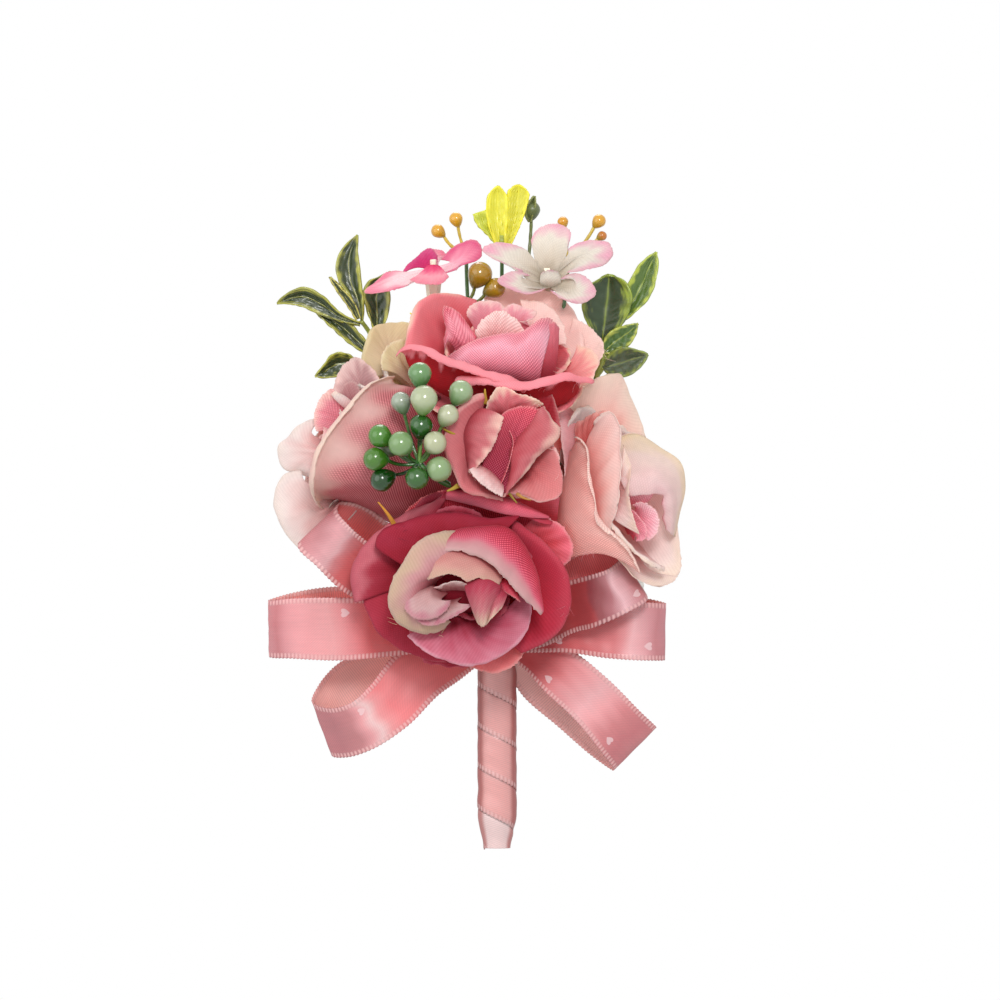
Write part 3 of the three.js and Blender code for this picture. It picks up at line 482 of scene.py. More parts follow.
def moulded_material(name, rough, shine, coat=0.0, bump=0.12, mottle=0.25, scatter=0.0):
    """Moulded plastic coloured by the piece's dye, with flow marks and small dents."""
    n = material_nodes(name)
    broad, fine = n.noise(420.0, 4.0), n.noise(2600.0, 3.0)
    colour = n.scaled(n.dye(), n.line(broad, mottle, 1.0 - mottle / 2))
    return n.surface(
        colour, n.line(fine, 0.2, rough - 0.1), n.bump(n.plus(broad, n.times(fine, 0.5)), bump, 0.3),
        Specular_IOR_Level=shine, Coat_Weight=coat, Coat_Roughness=0.15, Subsurface_Weight=scatter,
        Subsurface_Radius=(0.002, 0.002, 0.001), Subsurface_Scale=0.6,
    )


def elastic_material():
    """Woven elastic: cords along the band and fine ribs across it."""
    n = material_nodes("elastic")
    _, u, v = n.flat()
    weave = n.times(n.math("POWER", n.wave(u, 1.0), 0.6), n.line(n.wave(v, 0.55), 0.5, 0.5))
    lift = n.plus(n.line(weave, 0.22, 0.82), n.times(n.noise(300.0), 0.06))
    return n.surface(
        n.scaled(n.dye(), lift), n.line(weave, -0.15, 0.8), n.bump(weave, 0.8, 0.25), Sheen_Weight=0.3
    )


def felt_material():
    """Felt: fine fibres over broad tufts."""
    n = material_nodes("felt")
    fibres, tufts = n.noise(1500.0, 6.0, 0.75), n.noise(350.0, 3.0)
    return n.surface(
        n.scaled(n.dye(), n.line(fibres, 0.3, 0.8)), n.line(tufts, 0.1, 0.85),
        n.bump(n.plus(fibres, tufts), 0.9, 0.3), Sheen_Weight=0.4,
    )


petal_cloth = cloth_material("petal_cloth", 0.34, 0.46)
pale_cloth = cloth_material("pale_cloth", 0.34, 0.5, sheen=0.04)
satin = satin_material("satin", True)
plain_satin = satin_material("plain_satin", False)
leaf_plastic = moulded_material("leaf_plastic", 0.38, 0.5, coat=0.15, bump=0.2, mottle=0.3)
berry_plastic = moulded_material("berry_plastic", 0.2, 0.5, coat=0.4, bump=0.03, mottle=0.1, scatter=0.2)
calyx_plastic = moulded_material("calyx_plastic", 0.5, 0.4, bump=0.15)
tape_material = moulded_material("tape_material", 0.75, 0.3, bump=0.3, mottle=0.35)
elastic = elastic_material()
felt = felt_material()


# Petals

def loft(curves, columns, rows):
    """A grid through curves that run across a petal, the first at its foot and the last at its rim."""
    s = np.linspace(0, 1, columns)
    lines = np.stack([spline(c, s) for c in curves])
    return spline(lines, np.linspace(0, 1, rows))


def rolled(grid, radius, angle):
    """The grid with its last row rolled on round a small radius; a negative angle rolls to the front."""
    steps = 7
    tangent = unit(grid[-1] - grid[-2])
    normal = normals_of(grid)[-1] * (-1 if angle > 0 else 1)
    extra = []
    for i in range(1, steps + 1):
        a = math.radians(abs(angle)) * i / steps
        extra.append(grid[-1] + radius * (math.sin(a) * tangent + (1 - math.cos(a)) * normal))
    return np.concatenate([grid, np.stack(extra)])


PETAL_THICKNESS = 0.22
FRAYED = "#f6e0d8"
THREAD_LENGTH = 1.6
THREAD_RADII = np.linspace(0.035, 0.018, 7)


def add_petal(piece, curves, stops, seed, ruffle=0.25, fray=0.07, roll=None, columns=57, rows=27,
              facing=(0, -1, 0), uneven=0.05, net=0.18, net_to=9.0):
    """One petal through its curves, dyed along stops from foot to rim. Returns its area."""
    rng = np.random.default_rng(seed)
    grid = loft(curves, columns, rows)
    if facing is not None and (normals_of(grid)[rows // 2 :].mean((0, 1)) @ np.asarray(facing)) < 0:
        grid = grid[:, ::-1]
    if roll:
        grid = rolled(grid, *roll)
    s = np.linspace(-1, 1, columns)[None, :]
    t = np.linspace(0, 1, len(grid))[:, None]
    normal = normals_of(grid)
    swell = wander(rng, s, t, 4, 0.9)[..., None]
    fine = wander(rng, 3 * s, 1.5 * t, 5, 1.0)[..., None]
    grid = grid + normal * (ruffle * (t**2)[..., None] * (swell + 0.35 * fine))
    tangent = unit(grid[-1] - grid[-2])
    grid[-1] += tangent * (rng.normal(0, fray, columns) + fray * wander(rng, 9 * s[0], 0, 4))[:, None]
    blend = np.clip(t + uneven * wander(rng, 2 * s, 2 * t, 5), 0, 1)
    colour = ramp(stops, blend)
    if not roll:
        colour[-1:] = 0.65 * colour[-1:] + 0.35 * linear(FRAYED)
    nets = net * (1 - smooth(net_to - 0.1, net_to, blend))
    piece.sheet(grid, PETAL_THICKNESS, flat_uv(grid), colour, thin_rim=0.5, net=nets)
    return area_of(grid)


def add_threads(piece, spots, colour, seed):
    """Three loose threads of the cloth at each of the places on its rims."""
    rng = np.random.default_rng(seed)
    for spot in curves_of(spots)[0]:
        for _ in range(3):
            start = spot + rng.normal(0, 0.35, 3)
            way = unit(rng.normal(0, 1, 3) * (1, 0.5, 1))
            bend = unit(rng.normal(0, 1, 3)) * 0.5
            q = np.linspace(0, 1, 7)[:, None]
            path = start + way * q * THREAD_LENGTH * rng.uniform(0.4, 1.1) + bend * q**2
            piece.tube(path, THREAD_RADII, 4, colour)


# Each dye from a petal's foot (0) to its rim (1)
DYES = {
    "DEEP": "0 #bb1a26 0.4 #c42b3b 0.75 #cb4056 1 #dc6a7b",
    "DARK": "0 #b11e2c 0.5 #b93244 0.85 #c2485c 1 #d0697a",
    "SALMON": "0 #c8272f 0.45 #d94951 0.8 #e2626f 1 #f38d9e",
    "BLUSH": "0 #c85766 0.45 #dea7a7 0.8 #e8cac8 1 #eeddda",
    "PALE": "0 #dc9c9c 0.4 #e8c9c6 0.75 #ece2df 0.9 #eee6e0 1 #f0e4da",
    "IVORY": "0 #d8a29c 0.4 #e2cebb 0.85 #e4d7b6 1 #e8e1c1",
    "TIP": "0 #c03446 0.5 #df6771 1 #f39e9f",
    "DUSK": "0 #c42f3f 0.5 #dc5a6a 1 #ea7b88",
    "ROLL": "0 #a01929 0.5 #a82b3c 0.7 #bc4456 0.8 #d87d89 1 #c65c6d",
    "TOP": "0 #c83848 0.6 #cc4254 0.74 #d05064 0.8 #da5a6c 1 #d04c60",
    "BAND": "0 #aa1322 0.45 #a51d2f 0.7 #b23245 0.9 #b63c52 1 #a7263a",
    "FLOOR": "0 #ac1e2d 0.3 #b9394d 0.55 #cd657c 0.85 #dc93a5 1 #e4b1be",
    "SWEEP": "0 #b82836 0.45 #c84658 0.7 #d85c74 0.86 #de7c90 0.91 #d49ca0 1 #dcb6b6",
    "TONGUE": "0 #ae3e4a 0.5 #cd9e9d 0.85 #d6b4b4 1 #d08b9b",
    "POINT": "0 #ba2c40 0.5 #c35569 0.8 #cf898f 1 #dfcab7",
    "TOPBACK": "0 #dc7c80 0.45 #f3d0cc 1 #f4e0da",
    "TOPMID": "0 #c83444 0.5 #e88288 0.85 #f0b0ae 1 #f3d8c8",
    "SHADED": "0 #a84a58 0.5 #c48e92 0.85 #d2acac 1 #eed8d4",
    "HEARTBLUSH": "0 #b44e5c 0.45 #d68e8c 0.8 #dcaca2 1 #dcbca8",
    "BUDMID": "0 #b02e3a 0.5 #c85c66 0.85 #d48086 1 #f0d0c4",
    "BUDPINK": "0 #c4505a 0.5 #dc8082 0.85 #e49e9e 1 #f3d5d1",
    "RIMPINK": "0 #f090a4 0.4 #ee7c90 1 #dc5c70",
    "SHELL": "0 #c86a6e 0.4 #d08890 0.75 #d4a4a6 1 #d8c0a8",
    "FOLDROSE": "0 #c84858 0.5 #d86c7a 1 #e08a96",
    "STRIP": "0 #d06a68 0.5 #e49c9c 0.85 #f0bcc0 1 #f3d0d2",
    "TALL": "0 #e08a84 0.3 #eebcb4 0.55 #f0d6ce 0.85 #f0e2d8 1 #f0e6d2",
    "CORAL": "0 #cc5a58 0.5 #dc7c78 0.85 #e49a94 1 #f0c4bc",
    "UNDER": "0 #c71c24 0.55 #c72c35 0.765 #c0333b 0.8 #f3acb4 1 #f3a4ae",
    "CUP": "0 #cd6077 0.5 #e4a1b0 0.85 #eec1cd 1 #e29eab",
    "MID": "0 #c32e3e 0.5 #df6a75 0.85 #ec979e 1 #f3ddcb",
    "RED": "0 #a81420 0.6 #b42632 0.9 #b83a46 1 #cc6e74",
    "DUSKY": "0 #c04c56 0.5 #da7a80 0.85 #e08e92 1 #f0c4be",
    "NETPINK": "0 #c05567 0.5 #e091a1 0.85 #e8afba 1 #da7788",
    "WOVEN": "0 #b04963 0.5 #c65b6f 1 #df7687",
    "CAVE": "0 #8c1e2e 1 #a02438",
    "MAUVE": "0 #b05c64 0.6 #c08288 1 #d0a6a6",
    "SALMONBACK": "0 #d96866 0.6 #ec9c97 1 #f3c1bc",
    "FAR": "0 #e8aba8 0.55 #f1dcda 0.85 #f2e6e2 1 #f2e6dc",
    "PILLOW": "0 #f0e4cc 0.3 #f1e4de 0.75 #f1dcdc 0.95 #eccccf 1 #e0aeb3",
    "HEARTPINK": "0 #f3a4b6 0.5 #f3c0cc 0.85 #f3d0d8 1 #f3dce0",
    "CORE": "0 #f3a0b4 1 #f3c4d0",
    "PINKISH": "0 #cc5a6d 0.5 #e2909e 0.85 #eaafb9 1 #f0d5d1",
    "NEAR": "0 #c05f6a 0.35 #d0858c 0.66 #d89ca0 0.74 #e4bcb8 0.8 #ead0ca 1 #f0e0d4",
    "CUPPALE": "0 #ea948c 0.4 #f0bcb6 0.7 #f0d2cc 0.88 #f0deda 1 #f2e6e0",
    "CUPNEAR": "0 #eca6a0 0.4 #f0c2bc 0.7 #eecac4 0.88 #f0dad4 1 #f2e4de",
    "WHITE": "0 #c8bdaa 0.3 #dfd7cb 0.8 #e6e1d9 1 #e8bccb",
    "TIPPED": "0 #e2487c 0.3 #ea6c96 0.65 #f0b8c4 1 #ea98ac",
}

# Each petal: its disc, its dye, its curves from foot to rim, and what is special to it
FRONT = [
    ("outer", "SALMON", """
        470,560,-22.5 495,556,-22.5 515,562,-22.5 / 452,512,-24.5 500,500,-25 552,522,-24.5 / 440,496,-25
        470,486,-25 510,482,-25 545,489,-25 568,505,-24.6 577,530,-24.4""", {}),
    ("outer", "TIP", """
        452,606,-23 464,610,-23 478,606,-23 / 455,640,-27.5 480,648,-28.2 508,634,-27.5 / 462,658,-28
        478,670,-29 494,673,-29.3 512,667,-29 526,648,-28""", {}),
    ("outer", "DUSK", """
        440,560,-23 446,552,-23 456,548,-23 / 415,540,-26 428,522,-26 445,512,-26 / 398,525,-25.5
        410,507,-25.5 428,495,-26 449,489,-26.5""", {"net": 1.0}),
    ("outer", "DARK", """
        440,580,-23 444,598,-23 458,610,-23 / 402,574,-28.8 400,612,-29.5 432,640,-29.5 / 367,560,-27.6
        366,590,-28.3 372,612,-28.8 383,631,-29 399,645,-29 420,655,-29 444,660,-28.6""",
     {"roll": (1.2, 130)}),
    ("outer", "ROLL", """
        436,572,-23 440,560,-23 452,552,-23 / 392,590,-29.5 392,556,-30.3 436,518,-29 / 361,601,-28.6
        357,580,-29.3 364,556,-29.8 382,534,-30 404,519,-29.6 428,506,-29 448,497,-28.4""",
     {"roll": (1.5, 150)}),
    ("outer", "TOP", """
        446,560,-23 470,552,-23 496,560,-23 / 428,530,-27 470,520,-27.6 520,535,-27.6 / 441,497,-28.5
        455,490,-29 472,492,-29.6 492,497,-30 512,505,-30 530,514,-29.8 546,520,-29""",
     {"roll": (1.2, -150), "net": 1.0, "net_to": 0.8, "uneven": 0.02}),
    ("outer", "RIMPINK", """
        446,499,-29.4 476,506,-31.4 504,514,-32.6 527,517,-32.4 549,518,-30.4 / 446,494,-30.6 474,498,-32.6
        505,505,-33.6 528,511,-33 549,517,-30.6 / 447,490,-28.8 469,489,-30 505,496,-31 527,506,-31
        548,516,-30""", {"ruffle": 0.05}),
    ("outer", "SALMON", """
        486,562,-23 496,568,-23 500,578,-23 / 512,537,-27.4 538,546,-28.4 532,564,-28 / 519,514,-29
        541,516,-29.8 560,524,-30 570,536,-30 573,551,-29.6 569,562,-29.2 558,568,-28.6""", {}),
    ("second", "DEEP", """
        478,568,-24 486,580,-24 486,596,-24 476,606,-24 / 508,546,-30 536,578,-31.4 536,612,-31.4
        500,634,-30.6 / 510,527,-31.5 530,540,-32.4 549,556,-32.6 561,573,-32.4 566,594,-32 564,612,-31.8
        555,629,-31.6 539,641,-31.2 518,650,-30.8""", {"roll": (1.0, 110)}),
    ("second", "BAND", """
        440,578,-25 458,570,-25 482,572,-25 / 404,566,-33.6 432,546,-34.6 466,537,-34.8 504,533,-34 /
        379,550,-32.8 386,536,-33.8 410,527,-34.6 440,520,-35 466,519,-35 487,522,-34.6 506,519,-33.8
        519,517,-33""", {"roll": (1.3, 130)}),
    ("second", "FLOOR", """
        448,592,-27 462,602,-27 480,602,-27 494,590,-27 / 430,624,-33.4 458,640,-35.2 490,634,-35.2
        512,604,-34 / 412,633,-34.4 429,649,-35.4 447,658,-35.8 469,662,-35.8 493,656,-35.8 513,643,-35.8
        525,626,-35.6 529,607,-35 524,588,-34.4""", {"roll": (0.8, 60)}),
    ("inner", "SHELL", """
        456,572,-29 446,580,-29 442,590,-29 446,600,-29 456,602,-29 / 466,556,-38.6 438,558,-40 422,572,-41
        410,592,-41.2 412,610,-40.6 436,610,-39 / 456,529,-37 432,534,-38.4 413,547,-39 402,565,-39.4
        391,584,-39.4 389,603,-39.4 394,618,-39.2 407,630,-38.8 424,635,-38.2 440,631,-37.4 450,621,-36.8""",
     {}),
    ("third", "SWEEP", """
        468,566,-28 490,568,-28 502,582,-28 508,600,-28 / 452,531,-35 478,527,-36.6 506,531,-37.6
        524,550,-38.2 537,577,-38.8 543,607,-39.6 / 446,541,-38 466,538,-40 490,545,-41.4 512,563,-42
        529,587,-41.8 543,612,-41 / 437,552,-38.6 452,551,-40 470,554,-41 489,563,-41.6 505,578,-41.8
        520,595,-41.6 541,615,-40.8""", {"net": 1.0, "net_to": 0.89, "uneven": 0.012}),
    ("heart", "CAVE", """
        440,612,-33 462,614,-33 492,606,-33 / 436,595,-36 462,598,-35.6 502,596,-36 / 440,570,-36
        466,572,-35.6 508,584,-36""", {"ruffle": 0.05}),
    ("inner", "HEARTBLUSH", """
        430,556,-35.5 454,546,-36.5 484,554,-37 508,574,-36.5 / 424,562,-39.4 446,558,-40.2 474,562,-40.6
        502,579,-39.8 / 421,571,-39.4 429,579,-40.4 441,576,-41 455,575,-41.4 467,581,-41.4 480,578,-41.2
        490,584,-40.8 499,586,-40.2""", {"ruffle": 0.12}),
    ("heart", "BLUSH", """
        440,596,-35 455,592,-35 470,594,-35 / 436,588,-38.6 452,583,-39.4 468,587,-39 / 441,589,-38.4
        448,582,-39.8 457,581,-40.2 465,583,-40 472,590,-39""", {"ruffle": 0.1}),
    ("heart", "TONGUE", """
        428,586,-35 438,588,-35 450,592,-35 / 413,594,-40.4 427,601,-41.4 443,601,-41 / 407,599,-40.8
        405,609,-41.4 412,617,-41.6 425,620,-41.6 439,616,-41.6 448,608,-41.2 451,600,-40.6""",
     {"ruffle": 0.1}),
    ("inner", "TONGUE", """
        430,600,-34 450,600,-34 468,594,-34 / 420,612,-39.6 442,614,-40.2 464,604,-39.6 / 414,617,-39.8
        424,625,-40.3 440,624,-40.5 456,616,-40.2 474,604,-39.6""", {"ruffle": 0.1}),
    ("heart", "POINT", """
        466,574,-36 484,572,-36 502,578,-36 / 466,592,-40.2 484,586,-42 500,590,-40.4 / 471,606,-40.6
        483,606,-42.6 495,604,-41 / 477,622,-40.6 484,626,-42.2 489,615,-41.4""", {"ruffle": 0.08}),
    ("heart", "POINT", """
        494,580,-37 502,582,-37 509,588,-37 / 491,600,-40.6 499,600,-41.6 506,598,-40.6 / 486,625,-41.4
        493,617,-42.6 501,609,-41.8""", {"ruffle": 0.06}),
    ("inner", "DEEP", """
        486,572,-35 498,574,-35 508,580,-35 / 496,580,-38.6 508,584,-39.8 516,590,-39.6 / 498,588,-39
        508,594,-40.2 516,599,-40.6 520,602,-40""", {"ruffle": 0.08}),
]

TOP = [
    ("outer", "TOPBACK", """
        490,374,-20 505,370,-20 522,374,-21 / 482,322,-13 512,308,-10 550,330,-12 548,368,-20 / 484,301,-12
        506,290,-10 532,290,-9 549,292,-9 567,305,-10 576,320,-12 579,338,-15 576,360,-18 562,373,-20
        546,376,-22""", {"roll": (0.8, 90)}),
    ("outer", "TOPBACK", """
        535,378,-18 545,374,-17 555,378,-18 / 565,340,-14 580,350,-15 575,372,-18 / 573,318,-13 591,328,-14
        601,340,-16 604,352,-18 598,368,-20""", {}),
    ("outer", "TOPMID", """
        525,384,-19 535,380,-18 545,384,-19 / 570,362,-22 578,374,-24 565,388,-26 / 577,345,-21
        592,350,-22.5 599,361,-24 596,373,-25.5 588,385,-27 574,390,-28""", {}),
    ("outer", "UNDER", """
        500,396,-19 525,400,-18 550,396,-19 / 470,396,-27 500,408,-29 540,408,-29 575,396,-27 / 460,380,-31
        490,381,-33.5 523,385,-34.5 544,381,-34 560,377,-33 572,380,-31 580,385,-28""",
     {"roll": (1.4, -150), "columns": 65}),
    ("second", "UNDER", """
        470,392,-18 490,394,-18 512,394,-18 / 416,374,-25 452,388,-29 505,396,-29 / 406,357,-26 416,351,-28
        429,352,-30 449,363,-32 477,371,-33.4 498,376,-34 524,384,-33.6""",
     {"roll": (1.4, -150), "columns": 65}),
    ("second", "CUP", """
        476,384,-25 508,390,-26 540,386,-25 / 452,370,-29.5 476,362,-32 508,360,-33 543,362,-31 /
        448,358,-28 463,346,-30 486,336,-31.6 504,332,-32 523,331,-31.6 532,325,-30.6 541,319,-29.6
        552,320,-28""", {"net": 1.0, "columns": 65}),
    ("second", "FOLDROSE", """
        538,384,-26 546,382,-26 554,378,-26 / 537,360,-29.4 548,352,-29.8 558,348,-28 / 537,335,-29
        542,325,-29.6 550,322,-29 560,328,-27""", {}),
    ("inner", "NETPINK", """
        464,372,-24 474,372,-24 484,370,-24 / 447,342,-27 460,335,-28.4 474,346,-28.6 / 444,356,-26
        445,330,-27 445,306,-26 456,310,-27 467,323,-28.4 477,337,-29""", {"net": 1.0}),
    ("second", "MID", """
        470,385,-19 485,380,-17 497,375,-16 / 430,362,-23.6 438,325,-20 475,315,-15 / 411,353,-25
        415,329,-24 423,307,-22 435,299,-20 456,299,-17 476,305,-15""", {"roll": (0.9, 100)}),
    ("inner", "BLUSH", """
        486,352,-26 496,352,-26 508,352,-26 / 478,342,-28 494,334,-28.6 520,340,-28.6 / 475,336,-27.6
        480,323,-28 491,314,-28 502,311,-28 514,317,-28.4 524,330,-29""", {"net": 1.0}),
    ("third", "PINKISH", """
        505,345,-24 515,345,-24 524,345,-24 / 504,322,-24.6 520,318,-25.2 528,326,-25.6 / 501,311,-24
        510,304,-24 524,307,-24.5 537,313,-25 530,320,-26 520,323,-26.6""", {}),
    ("heart", "PINKISH", """
        478,345,-22 490,345,-22 500,345,-22 / 471,322,-22 488,312,-21.4 504,320,-22 / 466,316,-22.6
        470,307,-22 483,301,-21 497,302,-21 507,309,-21.5""", {}),
    ("third", "TOPBACK", """
        520,352,-22 530,350,-20 540,352,-20 / 524,318,-17 545,322,-18 556,345,-20 / 520,300,-15
        545,304,-15.5 562,322,-18 566,345,-21""", {}),
]

BUD = [
    ("outer", "RED", """
        505,450,-29.5 515,448,-29.5 522,452,-29.5 / 520,410,-31.5 540,415,-31.5 547,442,-31.5 / 512,388,-32
        534,384,-32 549,390,-32 557,408,-31.8 561,432,-31.6""", {}),
    ("outer", "DUSKY", """
        505,470,-30 498,455,-30 500,440,-30 / 484,486,-35 468,458,-36 474,430,-36 484,412,-35 /
        501,497,-34.5 484,492,-36.5 467,487,-37.4 457,468,-38 449,452,-38 447,441,-38 449,431,-38
        458,418,-38 470,406,-37.5 484,399,-37""", {"roll": (0.7, 80)}),
    ("outer", "MID", """
        497,430,-31 512,428,-31 525,432,-31 / 490,412,-35 508,404,-36 530,412,-35 / 486,410,-36 490,398,-37
        496,388,-37 511,389,-37.5 521,394,-37.5 538,399,-37 544,405,-36""", {}),
    ("outer", "BUDPINK", """
        520,445,-31 515,460,-31 510,475,-31 / 540,450,-35.4 540,474,-36.4 518,484,-36 / 549,445,-36.5
        556,459,-37 561,478,-37 560,490,-37 552,497,-37 543,499,-37 529,495,-36.8 518,492,-36.6
        505,493,-36.2""", {"roll": (0.6, 70)}),
    ("inner", "BUDMID", """
        472,420,-33 462,445,-33 470,478,-33 / 486,409,-37.5 474,426,-38.6 472,448,-39 469,470,-37.8 /
        504,417,-38.6 500,430,-39.6 493,446,-40.2 481,463,-40 470,473,-38.8""", {}),
    ("inner", "BLUSH", """
        480,462,-36 494,474,-36.4 504,484,-36 / 474,468,-39 488,480,-39.8 503,491,-38.8 / 469,470,-39.4
        478,481,-40 490,490,-40 502,497,-39""", {}),
    ("inner", "BUDMID", """
        520,430,-33 512,455,-34 506,480,-34 / 534,416,-37 527,440,-39.4 519,456,-40 515,472,-39.6
        505,492,-38.2 / 540,408,-37 545,428,-39.2 540,446,-40.2 528,460,-40.2 518,477,-39.6 505,495,-38.4 /
        545,405,-36 552,420,-37.4 560,432,-38 551,447,-39 536,459,-39.4 526,471,-39.2 514,486,-38.8
        502,498,-38.2""", {}),
    ("heart", "WOVEN", """
        493,489,-38 501,494,-38.2 509,487,-38 / 482,470,-38 498,470,-37.4 516,470,-38 / 492,445,-38
        506,442,-37.2 524,442,-37.8 / 502,414,-37.4 520,406,-36.8 542,410,-37""",
     {"ruffle": 0.06, "net": 1.0}),
    ("heart", "WOVEN", """
        502,478,-36 508,456,-36 512,440,-36 / 500,484,-37.6 511,458,-38 517,440,-37.4 / 499,488,-38.2
        506,473,-38.9 511,456,-39.1 513,442,-38.7 509,430,-38""", {"ruffle": 0.06, "net": 1.0}),
]

LEFT = [
    ("outer", "NEAR", """
        452,425,-14 462,465,-14 446,512,-13 / 440,396,-20 434,448,-25.5 416,498,-24 398,524,-12 /
        412,388,-25 394,420,-30.4 374,478,-31 354,495,-24 354,505,-12 / 396,385,-25 369,392,-29.4
        350,412,-31.6 335,431,-32.2 323,453,-31.8 316,477,-30.6 320,492,-24 334,501,-12""",
     {"roll": (0.9, -165), "columns": 65, "net": 1.0, "net_to": 0.76}),
    ("second", "SALMONBACK", """
        380,455,-12 382,440,-12 384,425,-12 / 340,465,-14 345,430,-13.5 356,400,-13 / 317,474,-15
        318,440,-14.4 323,415,-14 336,398,-13.5""", {}),
    ("second", "SHADED", """
        376,440,-15 384,436,-16 392,440,-17 / 342,396,-14 358,376,-14 380,396,-17 / 331,400,-14 336,379,-13
        345,364,-13 355,357,-13.5 366,362,-14.5 378,376,-16.4 388,396,-19""", {}),
    ("second", "PINKISH", """
        368,450,-15 372,442,-15 376,436,-15 / 330,430,-19 334,412,-18 346,404,-17 / 316,432,-20 315,412,-19
        321,397,-18 333,388,-17""", {"net": 0.5}),
    ("inner", "PALE", """
        354,414,-17.6 356,412,-17.6 358,409,-17.6 / 340,404,-18.6 345,403,-19 350,400,-18.6 / 331,394,-18.6
        334,391,-19 338,393,-18.6""", {"ruffle": 0.05, "columns": 17, "rows": 13}),
    ("heart", "MAUVE", """
        362,425,-15.6 366,422,-15.6 372,420,-15.6 / 345,400,-16.4 353,396,-16.8 362,400,-17 / 342,392,-16.4
        345,384,-16.6 353,381,-16.8 359,388,-17.2 361,400,-17.6""", {"ruffle": 0.05}),
    ("outer", "BLUSH", """
        362,430,-11 364,465,-11 362,505,-11 / 334,424,-13 326,462,-13 330,516,-13 / 326,424,-13.6
        309,450,-13.6 305,482,-13.6 313,520,-13.6""", {}),
    ("outer", "PALE", """
        345,440,-14 350,455,-14 345,470,-14 / 312,430,-18 302,450,-18.4 314,472,-18.4 / 320,421,-17
        300,426,-17 290,436,-16.5 281,446,-16 281,459,-16 288,469,-16.5 303,474,-17 319,479,-18""",
     {"roll": (0.8, 120)}),
    ("outer", "PALE", """
        348,480,-14 354,500,-14 350,520,-14 / 306,482,-19 300,508,-19.6 318,538,-18 / 302,473,-18
        287,476,-18 278,490,-18 276,504,-18 280,518,-18 287,532,-17.5 300,546,-17 321,546,-16""",
     {"roll": (0.8, 120)}),
]

BACK = [
    ("outer", "IVORY", """
        424,404,-9 430,400,-9 436,404,-9 / 396,392,-11 404,380,-10 420,380,-9 / 378,384,-13 380,372,-12
        390,366,-11 404,364,-10""", {}),
    ("outer", "IVORY", """
        424,412,-11 431,407,-10 438,412,-10 / 386,376,-14 390,346,-10 414,350,-9 / 374,376,-15 366,360,-13
        371,341,-12 376,328,-10 396,324,-9 416,328,-9 427,345,-10""", {"roll": (0.6, 90)}),
    ("inner", "IVORY", """
        420,400,-15 428,398,-14 436,400,-14 / 392,372,-18 402,356,-16 422,362,-15 / 382,370,-18.6
        384,350,-17.4 398,340,-16 415,344,-15 426,358,-15""", {}),
]

